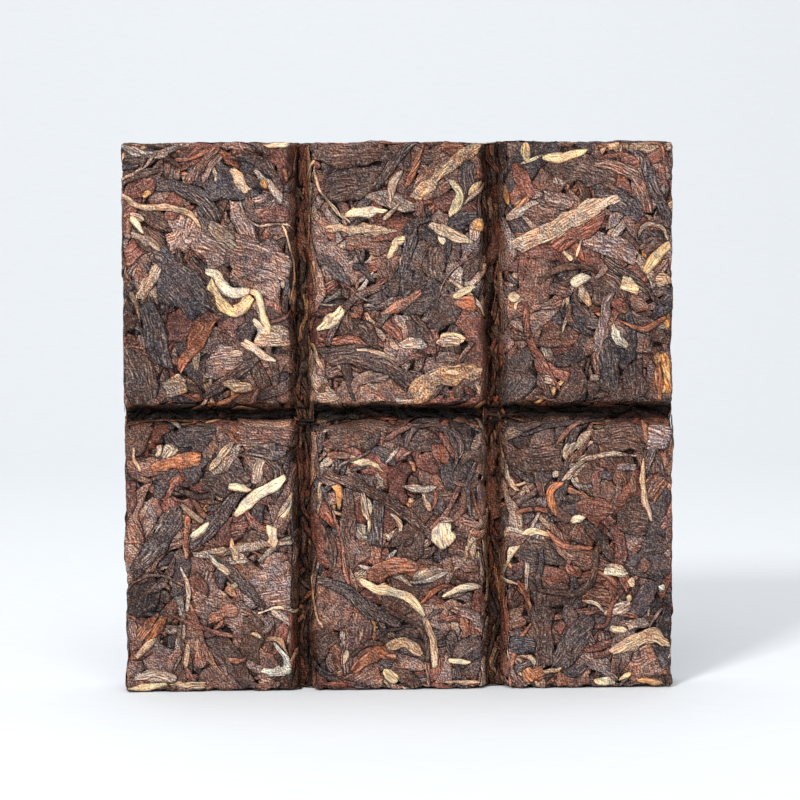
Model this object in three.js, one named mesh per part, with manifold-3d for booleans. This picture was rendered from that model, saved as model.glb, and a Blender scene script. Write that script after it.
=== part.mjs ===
// A pressed square of raw pu-erh tea, standing on its lower edge: whole leaves, rolled leaves and
// stalks squeezed into one solid slab, with two upright grooves and one level groove that let it
// break into six pieces. Millimetres, +Z up, front face towards -Y, origin at the middle of the foot.
import * as THREE from "three";
import { mergeVertices } from "three/addons/utils/BufferGeometryUtils.js";
import Module from "manifold-3d";

const wasm = await Module();
wasm.setup();
const { Manifold, Mesh } = wasm;

// Driving dimensions of the slab.
const WIDTH = 101;
const HEIGHT = 101;
const THICKNESS = 11;
const CORNER_RADIUS = 1.6; // corners of the square, seen from the front
const EDGE_CHAMFER = 0.45; // edges between the faces and the sides
const COLUMNS = 3;

// The grooves, pressed into the front face by the mould.
const UPRIGHT_GROOVE_WIDTH = 4.7;
const LEVEL_GROOVE_WIDTH = 4.4;
const LEVEL_GROOVE_HEIGHT = 51.1; // its middle line, a little above the middle of the slab
const GROOVE_DEPTH = 3.6;
const GROOVE_WALL_FOOT = 0.18; // half width at the foot of the walls, as a share of the groove width
const GROOVE_LIP = 0.5; // depth over which the mouth flares
const GROOVE_FLARE = 0.3; // how far the mouth flares on each side
const PAST_EDGE = 2; // how far cutting and clipped shapes run past the slab

// The leaves stand this far above the packed core, and end at the mould's faces.
const RELIEF = 0.5;
const LEAF_SINK = 1.6; // how deep a leaf's underside lies below the mould's face
const LEAF_STEPS = 3; // straight lengths in one leaf
const LEAF_SHOULDER = 0.78; // width of a leaf's flat top, as a share of its foot
const LEAF_TIP = 0.35; // width at a leaf's ends, as a share of its middle
const LOWEST_TOP = 0.42; // the lowest leaf tops lie this far under the mould's face

const SEED = 20231;
const TEA_BROWN = 0x5a4339;

// The largest leaves and stalks of the front, row by row: the width, then the few places that the
// middle line passes through, as across and up from the middle of the foot.
const FRONT_PIECES = [
  [1.9, [-50, 91.2], [-45.5, 89.3], [-39.5, 88.9], [-35.6, 84.8]],
  [3.2, [-44.5, 93], [-40, 93], [-35, 91], [-32.8, 87]],
  [8.0, [-41, 84], [-33, 81], [-20.5, 77]],
  [3.2, [-34.9, 77.3], [-31.8, 75.2], [-29.5, 73.8], [-26.8, 73.6]],
  [6.0, [-42.5, 78.5], [-44.5, 70], [-43.5, 60]],
  [2.8, [-25.5, 62], [-30, 60], [-35, 55.2]],
  [4.0, [-15, 99], [-6, 99], [-1, 97]],
  [2.2, [-3.8, 92.8], [-1, 95.5], [2.3, 100.5]],
  [3.0, [2.8, 90.3], [6.5, 94], [10.5, 97], [14.5, 100.3]],
  [3.4, [-13.5, 61.5], [-8, 62.3], [-1, 60]],
  [3.8, [1.5, 54.5], [6, 57.5], [14.5, 59]],
  [5.0, [28, 95.5], [34, 97], [38, 95]],
  [2.3, [44.5, 100], [46.5, 95], [48.5, 88.5], [50.3, 84]],
  [3.4, [21.8, 81.5], [28, 84.3], [33.5, 87.5], [39.8, 91]],
  [3.2, [47.5, 62], [48.8, 58], [49.5, 54.8]],
  [2.6, [-44.2, 41.3], [-41, 42.5], [-36.5, 43]],
  [2.4, [-30, 32.6], [-26.5, 36.6], [-20.2, 41]],
  [3.0, [-38.3, 27.3], [-33, 32.5], [-28.5, 37.3]],
  [5.0, [-41, 33], [-43, 27], [-47.5, 22]],
  [1.7, [1.5, 48], [7, 49.2], [10.5, 46], [10.3, 41.3]],
  [2.4, [-14.5, 39.3], [-8, 38], [-3, 35], [8, 27]],
  [1.8, [-7.4, 20.8], [1, 17.7], [5.4, 12.4], [6.3, 6.5]],
  [3.4, [-15, 20.5], [-9, 17.8], [-4, 14], [3.3, 9.8]],
  [4.4, [22, 41.5], [26, 43], [29.8, 40.5]],
  [3.4, [33, 34], [36.5, 34.3], [38, 30.8]],
  [1.6, [36.7, 26], [36, 20.5], [33, 18], [26, 18.6]],
  [2.2, [38.8, 6.8], [42.5, 8.5], [47, 9.5]],
];

// Filler leaves, scattered evenly by a jittered grid: how many across and up each face, with the
// range of lengths and widths, and how far their direction may turn from the face's long way.
const FRONT_FILL = { across: 7, up: 7, length: [8, 16], width: [2.6, 5.2], turn: Math.PI };
const BACK_FILL = { across: 7, up: 7, length: [10, 22], width: [3.5, 7], turn: Math.PI };
const SIDE_FILL = { across: 7, up: 2, length: [10, 18], width: [1.8, 3.2], turn: 0.14 };

// A repeatable stream of numbers from 0 to 1.
function stream(seed) {
  let state = seed;
  return () => {
    state = (state + 0x6d2b79f5) | 0;
    let t = Math.imul(state ^ (state >>> 15), 1 | state);
    t = (t + Math.imul(t ^ (t >>> 7), 61 | t)) ^ t;
    return ((t ^ (t >>> 14)) >>> 0) / 4294967296;
  };
}
const random = stream(SEED);
const between = (low, high) => low + (high - low) * random();

// A closed three.js geometry as a solid that can be joined and cut.
function solidOf(geometry) {
  const bare = geometry.index ? geometry.toNonIndexed() : geometry.clone();
  bare.deleteAttribute("normal");
  bare.deleteAttribute("uv");
  const merged = mergeVertices(bare, 1e-4);
  return new Manifold(
    new Mesh({
      numProp: 3,
      vertProperties: merged.attributes.position.array,
      triVerts: new Uint32Array(merged.index.array),
    }),
  );
}

// A solid back as a three.js geometry.
function geometryOf(solid) {
  const { vertProperties, triVerts } = solid.getMesh();
  const geometry = new THREE.BufferGeometry();
  geometry.setAttribute("position", new THREE.BufferAttribute(vertProperties, 3));
  geometry.setIndex(new THREE.BufferAttribute(triVerts, 1));
  geometry.computeVertexNormals();
  return geometry;
}

// The square outline of the slab, taken in by a margin on the sides and the top but not at the foot.
function outline(margin) {
  const right = WIDTH / 2 - margin;
  const top = HEIGHT - margin;
  const r = CORNER_RADIUS;
  const shape = new THREE.Shape();
  shape.moveTo(-right + r, 0);
  shape.lineTo(right - r, 0);
  shape.absarc(right - r, r, r, -Math.PI / 2, 0);
  shape.lineTo(right, top - r);
  shape.absarc(right - r, top - r, r, 0, Math.PI / 2);
  shape.lineTo(-right + r, top);
  shape.absarc(-right + r, top - r, r, Math.PI / 2, Math.PI);
  shape.lineTo(-right, r);
  shape.absarc(-right + r, r, r, Math.PI, Math.PI * 1.5);
  return shape;
}

// A slab of that outline, with its front and back edges chamfered, standing on its foot.
function slab(margin, thickness) {
  const geometry = new THREE.ExtrudeGeometry(outline(margin), {
    depth: thickness - 2 * EDGE_CHAMFER,
    curveSegments: 2,
    bevelSegments: 1,
    bevelThickness: EDGE_CHAMFER,
    bevelSize: EDGE_CHAMFER,
    bevelOffset: -EDGE_CHAMFER,
  });
  geometry.translate(0, 0, -(thickness - 2 * EDGE_CHAMFER) / 2);
  geometry.rotateX(Math.PI / 2);
  return solidOf(geometry);
}

// The point at a share u of the way along the smooth line through a few places.
function along(places, u) {
  const last = places.length - 1;
  return places.reduce(
    (sum, [x, z], i) => {
      let weight = 1;
      for (let j = 0; j <= last; j++) if (j !== i) weight *= (u * last - j) / (i - j);
      return [sum[0] + weight * x, sum[1] + weight * z];
    },
    [0, 0],
  );
}

// One flattened leaf in a face's own frame: x and y on the face, z out of it, 0 at the mould's face.
// Its section is a low trapezium carried along the middle line, narrower at both ends.
function leaf(width, places, top) {
  const points = [];
  for (let i = 0; i <= LEAF_STEPS; i++) {
    const u = i / LEAF_STEPS;
    const [x, y] = along(places, u);
    const [ax, ay] = along(places, Math.max(0, u - 0.02));
    const [bx, by] = along(places, Math.min(1, u + 0.02));
    const run = Math.hypot(bx - ax, by - ay);
    const side = [-(by - ay) / run, (bx - ax) / run];
    const half = (width / 2) * (LEAF_TIP + (1 - LEAF_TIP) * Math.sin(Math.PI * u));
    for (const [share, z] of [
      [-1, -LEAF_SINK],
      [-LEAF_SHOULDER, -top],
      [LEAF_SHOULDER, -top],
      [1, -LEAF_SINK],
    ])
      points.push(x + side[0] * half * share, y + side[1] * half * share, z);
  }
  const faces = [0, 1, 2, 0, 2, 3];
  for (let i = 0; i < LEAF_STEPS; i++)
    for (let k = 0; k < 4; k++) {
      const a = i * 4 + k;
      const b = i * 4 + ((k + 1) % 4);
      faces.push(a, b + 4, b, a, a + 4, b + 4);
    }
  const end = LEAF_STEPS * 4;
  faces.push(end, end + 2, end + 1, end, end + 3, end + 2);
  const geometry = new THREE.BufferGeometry();
  geometry.setAttribute("position", new THREE.Float32BufferAttribute(points, 3));
  geometry.setIndex(faces);
  return geometry;
}

// The frames of the slab's faces: the middle of each, and the way its own x, y and z point.
function faceFrame(middle, x, y, z) {
  return new THREE.Matrix4()
    .makeBasis(new THREE.Vector3(...x), new THREE.Vector3(...y), new THREE.Vector3(...z))
    .setPosition(...middle);
}
const FRONT = faceFrame([0, -THICKNESS / 2, 0], [1, 0, 0], [0, 0, 1], [0, -1, 0]);
const BACK = faceFrame([0, THICKNESS / 2, 0], [-1, 0, 0], [0, 0, 1], [0, 1, 0]);
const RIGHT = faceFrame([WIDTH / 2, 0, HEIGHT / 2], [0, 0, 1], [0, -1, 0], [1, 0, 0]);
const LEFT = faceFrame([-WIDTH / 2, 0, HEIGHT / 2], [0, 0, 1], [0, 1, 0], [-1, 0, 0]);
const TOP = faceFrame([0, 0, HEIGHT], [1, 0, 0], [0, 1, 0], [0, 0, 1]);

// Leaves scattered over a face of the given size, one in each cell of a jittered grid.
function scatter(frame, { across, up, length, width, turn }, spanX, spanY, lowY) {
  const solids = [];
  for (let i = 0; i < across; i++)
    for (let j = 0; j < up; j++) {
      const x = ((i + between(0.2, 0.8)) / across - 0.5) * spanX;
      const y = lowY + ((j + between(0.2, 0.8)) / up) * spanY;
      const angle = between(-turn / 2, turn / 2);
      const half = between(...length) / 2;
      const bow = between(-0.16, 0.16) * half;
      const [c, s] = [Math.cos(angle), Math.sin(angle)];
      const places = [
        [x - half * c, y - half * s],
        [x - bow * s, y + bow * c],
        [x + half * c, y + half * s],
      ];
      const geometry = leaf(between(...width), places, between(0.12, LOWEST_TOP));
      solids.push(solidOf(geometry.applyMatrix4(frame)));
    }
  return solids;
}

// The bar that the mould presses in for one groove, along its own x, 0 at the mould's face.
function grooveBar(width, length) {
  const half = width / 2;
  const foot = width * GROOVE_WALL_FOOT;
  const section = new THREE.Shape();
  section.moveTo(-half - GROOVE_FLARE, PAST_EDGE);
  section.lineTo(-half - GROOVE_FLARE, 0);
  section.lineTo(-half, -GROOVE_LIP);
  section.lineTo(-foot, -GROOVE_DEPTH * 0.93);
  section.lineTo(0, -GROOVE_DEPTH);
  section.lineTo(foot, -GROOVE_DEPTH * 0.93);
  section.lineTo(half, -GROOVE_LIP);
  section.lineTo(half + GROOVE_FLARE, 0);
  section.lineTo(half + GROOVE_FLARE, PAST_EDGE);
  const bar = new THREE.ExtrudeGeometry(section, { depth: length, bevelEnabled: false });
  bar.translate(0, 0, -length / 2);
  // The section's own x, y and depth become across, out of the face, and along the bar.
  return bar.applyMatrix4(
    new THREE.Matrix4().makeBasis(
      new THREE.Vector3(0, 1, 0),
      new THREE.Vector3(0, 0, 1),
      new THREE.Vector3(1, 0, 0),
    ),
  );
}

function grooves() {
  const bars = [];
  const pad = (WIDTH - (COLUMNS - 1) * UPRIGHT_GROOVE_WIDTH) / COLUMNS;
  for (let i = 1; i < COLUMNS; i++) {
    const x = -WIDTH / 2 + i * (pad + UPRIGHT_GROOVE_WIDTH) - UPRIGHT_GROOVE_WIDTH / 2;
    const bar = grooveBar(UPRIGHT_GROOVE_WIDTH, HEIGHT + 2 * PAST_EDGE);
    bars.push(bar.rotateZ(Math.PI / 2).translate(x, HEIGHT / 2, 0).applyMatrix4(FRONT));
  }
  const level = grooveBar(LEVEL_GROOVE_WIDTH, WIDTH + 2 * PAST_EDGE);
  bars.push(level.translate(0, LEVEL_GROOVE_HEIGHT, 0).applyMatrix4(FRONT));
  return bars.map(solidOf);
}

// The packed core, the leaves that show on every face but the foot, and the grooves through both.
function pressedTea() {
  const core = slab(RELIEF, THICKNESS - 2 * RELIEF);
  const shown = FRONT_PIECES.map(([width, ...places]) =>
    solidOf(leaf(width, places, between(0, 0.14)).applyMatrix4(FRONT)),
  );
  const sideSpan = THICKNESS - 2 * EDGE_CHAMFER;
  const leaves = [
    ...shown,
    ...scatter(FRONT, FRONT_FILL, WIDTH, HEIGHT, 0),
    ...scatter(BACK, BACK_FILL, WIDTH, HEIGHT, 0),
    ...scatter(RIGHT, SIDE_FILL, HEIGHT, sideSpan, -sideSpan / 2),
    ...scatter(LEFT, SIDE_FILL, HEIGHT, sideSpan, -sideSpan / 2),
    ...scatter(TOP, SIDE_FILL, WIDTH, sideSpan, -sideSpan / 2),
  ];
  const packed = Manifold.union([core, ...leaves]).intersect(slab(0, THICKNESS));
  const cut = Manifold.difference([packed, ...grooves()]);
  // A loose scrap that a groove cuts off is dropped: the largest body is the brick.
  return cut.decompose().sort((a, b) => b.volume() - a.volume())[0];
}

const tea = new THREE.Mesh(
  geometryOf(pressedTea()),
  new THREE.MeshStandardMaterial({ color: TEA_BROWN, roughness: 0.82, metalness: 0 }),
);
tea.name = "tea_brick";

const brick = new THREE.Group();
brick.add(tea);
export default brick;
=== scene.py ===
"""A brick of raw pu-erh tea: leaves, rolled leaves, stalks and buds pressed into a grooved slab.

Every face of the slab is a chart in millimetres. Leaves are laid on a chart from the top down: the
first lie flush with the mould's face, and each later one passes under those already there.
"""

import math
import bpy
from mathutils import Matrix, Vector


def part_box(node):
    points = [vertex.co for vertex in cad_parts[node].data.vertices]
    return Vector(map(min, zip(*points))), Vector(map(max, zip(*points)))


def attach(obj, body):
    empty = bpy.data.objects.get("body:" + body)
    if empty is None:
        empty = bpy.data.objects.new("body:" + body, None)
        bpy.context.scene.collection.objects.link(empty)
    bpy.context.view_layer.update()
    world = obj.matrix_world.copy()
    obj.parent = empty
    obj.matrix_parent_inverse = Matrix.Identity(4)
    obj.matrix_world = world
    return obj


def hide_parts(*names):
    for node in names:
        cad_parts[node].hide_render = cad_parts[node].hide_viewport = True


bl_info = {
    "name": "Pressed Tea Brick",
    "version": (1, 0, 0),
    "blender": (4, 5, 0),
    "location": "3D View > Sidebar > Tea Brick",
    "description": "Builds a grooved brick of pressed tea leaves around its packed solid",
    "category": "Object",
}

from collections import defaultdict, namedtuple
from types import SimpleNamespace

import bpy
import numpy as np
from mathutils import Matrix, Vector

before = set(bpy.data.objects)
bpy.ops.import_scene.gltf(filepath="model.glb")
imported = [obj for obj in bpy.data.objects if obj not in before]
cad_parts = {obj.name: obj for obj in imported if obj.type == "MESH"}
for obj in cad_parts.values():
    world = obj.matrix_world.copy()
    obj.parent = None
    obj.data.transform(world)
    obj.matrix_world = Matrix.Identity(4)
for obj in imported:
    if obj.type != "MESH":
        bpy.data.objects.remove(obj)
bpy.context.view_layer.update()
NODE = "tea_brick"
BODY = "root"
MM = 0.001
LOWEST, HIGHEST = (np.array(corner, float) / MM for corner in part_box(NODE))
WIDTH, THICKNESS, HEIGHT = HIGHEST - LOWEST
FRONT_Y, BACK_Y = LOWEST[1], HIGHEST[1]
UPRIGHT_GROOVES_AT = (-17.6, 17.5)
LEVEL_GROOVE_AT = 51.0

# How finely a leaf is cut up, in millimetres, and how its surface follows what lies on it.
FRONT_STEP, PLAIN_STEP = 0.44, 0.5
CELL = 0.16
CLEARANCE = 0.03
DEEPEST = 2.4

# The charts: how far each runs on past its edges, where covering it stops mattering, and how
# steeply the leaves sink beyond that.
REACH = 5.0
COVERED_PAST_EDGE = 0.9
WALL_COVERED = 3.0
FLOOR_SHOWN = 1.3
SINKING = 0.35
OUTER_TURN, GROOVE_WALL_TURN = math.radians(90), math.radians(62)

# How quickly painted shade deepens down the walls of the grooves: the upright ones, and in the level groove
# the overhung wall with the floor, painted near black, and the ledge under them that catches the light.
UPRIGHT_GLOOM, OVERHUNG_GLOOM, LEDGE_GLOOM = 1.0, 2.6, 0.7


def linear(red, green, blue):
    """The linear colour of an sRGB colour given as 0 to 255."""
    shares = (channel / 255 for channel in (red, green, blue))
    return tuple(((s + 0.055) / 1.055) ** 2.4 if s > 0.04045 else s / 12.92 for s in shares)


def dye(name, description, *rgb):
    """A colour property with its default given in sRGB."""
    return bpy.props.FloatVectorProperty(
        name=name, description=description, default=linear(*rgb), size=3, min=0, max=1, subtype="COLOR"
    )


def amount(name, description, default, **unit):
    """A number property, with a unit or a subtype where one fits."""
    return bpy.props.FloatProperty(name=name, description=description, default=default, **unit)


def length(name, description, default):
    """A length property with its default given in millimetres."""
    return amount(name, description, default * MM, unit="LENGTH")


def angle(name, description, default):
    """An angle property with its default given in degrees."""
    return amount(name, description, math.radians(default), subtype="ANGLE")


class TeaColours(bpy.types.PropertyGroup):
    slate: dye("Slate", "Rolled dark leaves with a blue-grey bloom", 77, 66, 67)
    umber: dye("Umber", "The darkest flat leaves", 85, 64, 57)
    brown: dye("Brown", "The ordinary leaf", 114, 84, 73)
    taupe: dye("Taupe", "Broad pale brown leaf", 129, 105, 97)
    russet: dye("Russet", "Red-brown leaf", 121, 77, 65)
    rust: dye("Rust", "Orange-brown leaf", 145, 93, 68)
    fibre: dye("Fibre", "Grey fibrous leaf and torn stalk", 152, 134, 119)
    tan: dye("Tan", "Pale brown stalk", 184, 157, 128)
    straw: dye("Straw", "Yellow-white stalk", 220, 201, 160)
    cream: dye("Cream", "Palest stalk and fibrous leaf base", 229, 217, 190)
    gold: dye("Gold", "Golden downy bud", 206, 153, 94)
    amber: dye("Amber", "Orange leaf and stalk", 174, 114, 74)
    core: dye("Core", "Packed leaf deep in the crevices", 52, 36, 28)


class SlabSizes(bpy.types.PropertyGroup):
    edge_radius: length("Edge radius", "Rounding of every edge", 0.75)
    groove_radius: length("Groove edge radius", "Rounding of the pads beside a groove", 0.80)
    corner_radius: length("Corner radius", "Rounding of the square's corners", 1.4)
    upright_groove: length("Upright groove", "Width of the upright grooves", 4.2)
    level_groove: length("Level groove", "Width of the level groove", 3.8)
    groove_depth: length("Groove depth", "Depth of the grooves", 3.5)
    core_inset: length("Core inset", "How far the packed core lies under the mould's face", 0.9)


class StudioSettings(bpy.types.PropertyGroup):
    lens: amount("Lens", "Focal length on a 36 mm sensor, in mm", 109.0)
    distance: length("Distance", "Camera to the brick", 450)
    yaw: angle("Yaw", "How far the camera stands to one side", -1.66)
    pitch: angle("Pitch", "How far the camera looks down", 3.08)
    roll: angle("Roll", "How far the camera leans", -0.28)
    key_power: amount("Key power", "Lamp to the upper left", 9.5)
    overhead_power: amount("Overhead power", "Broad light from above", 6.0)
    backdrop_power: amount("Backdrop power", "Light on the backdrop alone", 7.0)
    sky: amount("Sky", "Light from all round", 0.32)


def slab_sizes():
    """The slab's sizes in millimetres, by name."""
    sizes = bpy.context.scene.tea_sizes
    return SimpleNamespace(**{name: getattr(sizes, name) / MM for name in SlabSizes.__annotations__})


def placed(name, data):
    """A new object at the origin, linked to the scene."""
    made = bpy.data.objects.new(name, data)
    bpy.context.collection.objects.link(made)
    return made


def run_along(x, y):
    """The distance run along a line of points, at each of them."""
    return np.concatenate([[0], np.cumsum(np.hypot(np.diff(x), np.diff(y)))])


# How each make of leaf is shaped. Sizes are in millimetres, shares are of the width or the length.
Make = namedtuple("Make", "thick edge_drop roundness ridges ridge_depth wrinkle ragged tips fibre")
MAKES = {
    "broad": Make(0.12, 0.04, 5.0, 1.8, 0.035, 0.18, 0.55, (0.25, 1.00), (0.15, 0.9)),
    "rolled": Make(0.30, 0.14, 3.0, 2.4, 0.070, 0.16, 0.40, (0.15, 0.80), (0.4, 1.0)),
    "stalk": Make(0.32, 0.14, 2.6, 1.6, 0.040, 0.10, 0.35, (0.25, 0.70), (0.6, 0.9)),
    "bud": Make(0.30, 0.16, 2.4, 3.0, 0.050, 0.12, 0.60, (0.12, 0.50), (0.5, 1.0)),
    "shred": Make(0.12, 0.04, 3.0, 1.6, 0.030, 0.12, 0.80, (0.15, 0.90), (0.4, 1.0)),
}
Leaf = namedtuple("Leaf", "make colour width path lift", defaults=(0.0,))


class Chart:
    """One face of the brick, flat in millimetres, with the room left under the leaves on it.

    room holds the height of the lowest thing over each cell, 0 at the mould's face and negative
    inwards. bare marks the cells that must still be covered, and shut those no leaf may enter.
    """

    def __init__(self, low, high, loops=False):
        self.low, self.high = np.array(low, float), np.array(high, float)
        self.loops = loops
        self.size = np.ceil((self.high - self.low) / CELL).astype(int)
        a, b = (self.low[k] + (np.arange(self.size[k]) + 0.5) * CELL for k in range(2))
        self.a, self.b = np.meshgrid(a, b, indexing="ij")
        self.room = np.zeros(self.size)
        self.bare = np.ones(self.size, bool)
        self.shut = np.zeros(self.size, bool)

    def cells(self, a, b):
        """The flat indices of the cells at some places, held inside the chart."""
        i = np.floor((a - self.low[0]) / CELL).astype(int)
        j = np.clip(np.floor((b - self.low[1]) / CELL).astype(int), 0, self.size[1] - 1)
        i = i % self.size[0] if self.loops else np.clip(i, 0, self.size[0] - 1)
        return i * self.size[1] + j

    def stand(self, axes, origin):
        """Sets where the chart lies in space: across, up and outwards, and where it starts."""
        self.axes, self.origin = np.array(axes, float), np.array(origin, float)

    def in_space(self, *along):
        """The origin, plus how far a place lies along each of the three axes."""
        steps = [part[..., None] * axis for part, axis in zip(along, self.axes)]
        return self.origin + steps[0] + steps[1] + steps[2]


def bend(past, radius, steepest):
    """Where a sheet gets to that runs past a rounded edge: a quarter round, then straight down.

    With turn = past / radius up to the steepest angle: outwards radius sin(turn), downwards
    radius (1 - cos(turn)), and then along that direction for what is left.
    """
    turn = np.minimum(past / radius, steepest)
    straight = past - turn * radius
    outwards = radius * np.sin(turn) + straight * np.cos(turn)
    downwards = radius * (1 - np.cos(turn)) + straight * np.sin(turn)
    return outwards, downwards, turn


def over_ends(b, low, high, radius, height):
    """Bends a strip down over its two rounded ends: how far along it a place gets, and how high."""
    flat = np.clip(b, low, high)
    outwards, downwards, turn = bend(np.abs(b - flat), radius, OUTER_TURN)
    along = flat + np.sign(b - flat) * (outwards + height * np.sin(turn))
    return along, height * np.cos(turn) - downwards


# One edge of a flat chart: its rounding, how steep its wall gets, how far down the leaves must cover that
# wall, and how quickly painted shade deepens on that wall with its depth.
Edge = namedtuple("Edge", "radius turn covered gloom")


class FlatChart(Chart):
    """A rectangle of the front or the back, whose four edges round over and run down its walls.

    The edges are given in the order left, right, bottom, top.
    """

    def __init__(self, low, high, axes, origin, edges):
        super().__init__(np.array(low) - REACH, np.array(high) + REACH)
        self.stand(axes, origin)
        self.radii, self.turns, covers, self.gloom = zip(*edges)
        self.flat_low = np.array(low) + (self.radii[0], self.radii[2])
        self.flat_high = np.array(high) - (self.radii[1], self.radii[3])
        da = self.a - np.clip(self.a, self.flat_low[0], self.flat_high[0])
        db = self.b - np.clip(self.b, self.flat_low[1], self.flat_high[1])
        past, covered = np.hypot(da, db), self.by_side(self.radii, da, db) + self.by_side(covers, da, db)
        self.bare = past < covered
        self.room -= np.clip(past - covered + 0.5, 0, None) * SINKING

    def by_side(self, values, da, db):
        """The value of the side that a place lies past, shared between two sides at a corner."""
        left, right, bottom, top = values
        across, up = np.abs(da) + 1e-9, np.abs(db)
        total = across * np.where(da < 0, left, right) + up * np.where(db < 0, bottom, top)
        return total / (across + up)

    def to_space(self, a, b, height):
        """The place in space of a chart place, clamped to the flat part and then bent over the edge.

        The second result is its depth past the edge, times that edge's gloom, which sets how much painted
        shade it gets.
        """
        flat_a = np.clip(a, self.flat_low[0], self.flat_high[0])
        flat_b = np.clip(b, self.flat_low[1], self.flat_high[1])
        da, db = a - flat_a, b - flat_b
        past = np.hypot(da, db)
        safe = np.where(past > 0, past, 1)
        radius, steepest, gloom = (self.by_side(v, da, db) for v in (self.radii, self.turns, self.gloom))
        outwards, downwards, turn = bend(past, radius, steepest)
        reach = (outwards + height * np.sin(turn)) / safe
        out = height * np.cos(turn) - downwards
        return self.in_space(flat_a + da * reach, flat_b + db * reach, out), downwards * gloom


class GrooveChart(Chart):
    """The floor of a groove, opened out: a is the distance across it, b the distance along it.

    Its section is depth (1 - |u|^4), with u from -1 to 1 over the width, so it lies just under the
    leaves that run down the walls and shows only at the bottom.
    """

    def __init__(self, width, depth, low, high, axes, origin, radius, gloom):
        across = np.linspace(-width / 2, width / 2, 181)
        down = depth * (1 - np.abs(2 * across / width) ** 4)
        run = run_along(across, down)
        run -= run[-1] / 2
        slope = np.gradient(across, run), np.gradient(down, run)
        steep = np.hypot(*slope)
        self.run, self.section = run, (across, down, slope[1] / steep, slope[0] / steep)
        super().__init__((run[0], low - REACH), (run[-1], high + REACH))
        self.stand(axes, origin)
        self.ends = (low + radius, high - radius)
        self.radius, self.gloom = radius, gloom
        past = np.abs(self.b - np.clip(self.b, *self.ends))
        self.bare = (past < radius + 0.3) & (np.abs(self.a) < FLOOR_SHOWN)
        self.room -= np.clip(past - radius, 0, None) * SINKING

    def to_space(self, a, b, height):
        """The section's own curve, moved along the groove and bent down over its two ends."""
        across, down, normal_a, normal_out = (np.interp(a, self.run, v) for v in self.section)
        along, rise = over_ends(b, *self.ends, self.radius, height)
        # The depth, times the gloom, sets the painted groove shade.
        return self.in_space(across + normal_a * rise, along, normal_out * rise - down), down * self.gloom


class RimChart(Chart):
    """The four narrow sides in one strip: a runs round the outline, b from the back to the front."""

    def __init__(self, corner, radius):
        near, far = WIDTH / 2 - corner, HEIGHT - corner
        quarter = np.linspace(0, math.pi / 2, 9)
        bends = (
            (near, corner, -math.pi / 2),
            (near, far, 0),
            (-near, far, math.pi / 2),
            (-near, corner, math.pi),
        )
        x = np.concatenate([mx + corner * np.cos(start + quarter) for mx, mz, start in bends])
        z = np.concatenate([mz + corner * np.sin(start + quarter) for mx, mz, start in bends])
        way = np.concatenate([start + quarter for mx, mz, start in bends])
        x, z, way = (np.append(v, v[0]) for v in (x, z, way))
        self.run = run_along(x, z)
        self.outline = (x, z, np.cos(way), np.sin(way))
        side = THICKNESS / 2
        super().__init__((0, -side - REACH / 2), (self.run[-1], side + REACH / 2), loops=True)
        self.flat, self.radius = side - radius, radius
        past = np.abs(self.b) - self.flat
        self.bare = past < radius * 0.9
        self.room -= 0.3 * np.clip(past / radius + 0.5, 0, 1) + np.clip(past - radius, 0, None) * 0.5

    def on_outline(self, a):
        """The outline's point and normal at a distance round it, each as x and z."""
        return [np.interp(a, self.run, v, period=self.run[-1]) for v in self.outline]

    def to_space(self, a, b, height):
        """The outline's point, moved out along its normal, with the two long edges bent over."""
        x, z, nx, nz = self.on_outline(a)
        forwards, rise = over_ends(b, -self.flat, self.flat, self.radius, height)
        return np.stack([x + nx * rise, -forwards, z + nz * rise], -1), np.zeros_like(rise)


def waves(rng, shortest, longest, count=6):
    """A smooth random height over a plane: the mean of sine waves of random way, length and phase."""
    way = rng.uniform(0, math.pi, count)
    pitch = 2 * math.pi / rng.uniform(shortest, longest, count)
    phase = rng.uniform(0, 2 * math.pi, count)

    def height(a, b):
        turns = ((a * math.cos(w) + b * math.sin(w)) * k + p for w, k, p in zip(way, pitch, phase))
        return sum(np.sin(turn) for turn in turns) * (1.4 / count)

    return height


def smooth_line(path, stations):
    """Evenly spaced places along the smooth line through a few places, by a Catmull-Rom spline."""
    path = np.array(path, float)
    ends = np.vstack([2 * path[0] - path[1], path, 2 * path[-1] - path[-2]])
    share = np.linspace(0, len(path) - 1, 24 * len(path))
    i = np.minimum(share.astype(int), len(path) - 2)
    t = (share - i)[:, None]
    p0, p1, p2, p3 = (ends[i + k] for k in range(4))
    line = 0.5 * (
        2 * p1 + (p2 - p0) * t + (2 * p0 - 5 * p1 + 4 * p2 - p3) * t**2 + (3 * (p1 - p2) + p3 - p0) * t**3
    )
    run = run_along(*line.T)
    even = np.linspace(0, run[-1], stations)
    return np.stack([np.interp(even, run, line[:, k]) for k in range(2)], -1), run[-1]


def kinked(rng, run, length, spacing):
    """A random height along a leaf, straight between kinks: normal numbers joined by lines."""
    kinks = max(3, int(length / spacing) + 2)
    return np.interp(run, np.linspace(0, length, kinks), rng.normal(0, 0.35, kinks))


def spread(values, reach, take):
    """A square window carried over an array: take is np.minimum for its lowest value, or np.add."""
    for axis in range(2):
        pad = [(0, 0), (0, 0)]
        pad[axis] = (reach, reach)
        wide = np.pad(values, pad, mode="edge")
        count = values.shape[axis]
        total = np.take(wide, np.arange(count), axis)
        for k in range(1, 2 * reach + 1):
            total = take(total, np.take(wide, np.arange(k, k + count), axis))
        values = total if take is np.minimum else total / (2 * reach + 1)
    return values


# How the finished leaves are pushed about, in millimetres, and the foot that isn't pushed down.
SLOW = waves(np.random.default_rng(3), 6, 20, 7)
QUICK = waves(np.random.default_rng(4), 1.6, 5, 7)
SLOW_SHIFT, QUICK_SHIFT = 0.25, 0.12
FOOT_HEIGHT, FOOT_LIFT = 4, 0.5


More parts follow.
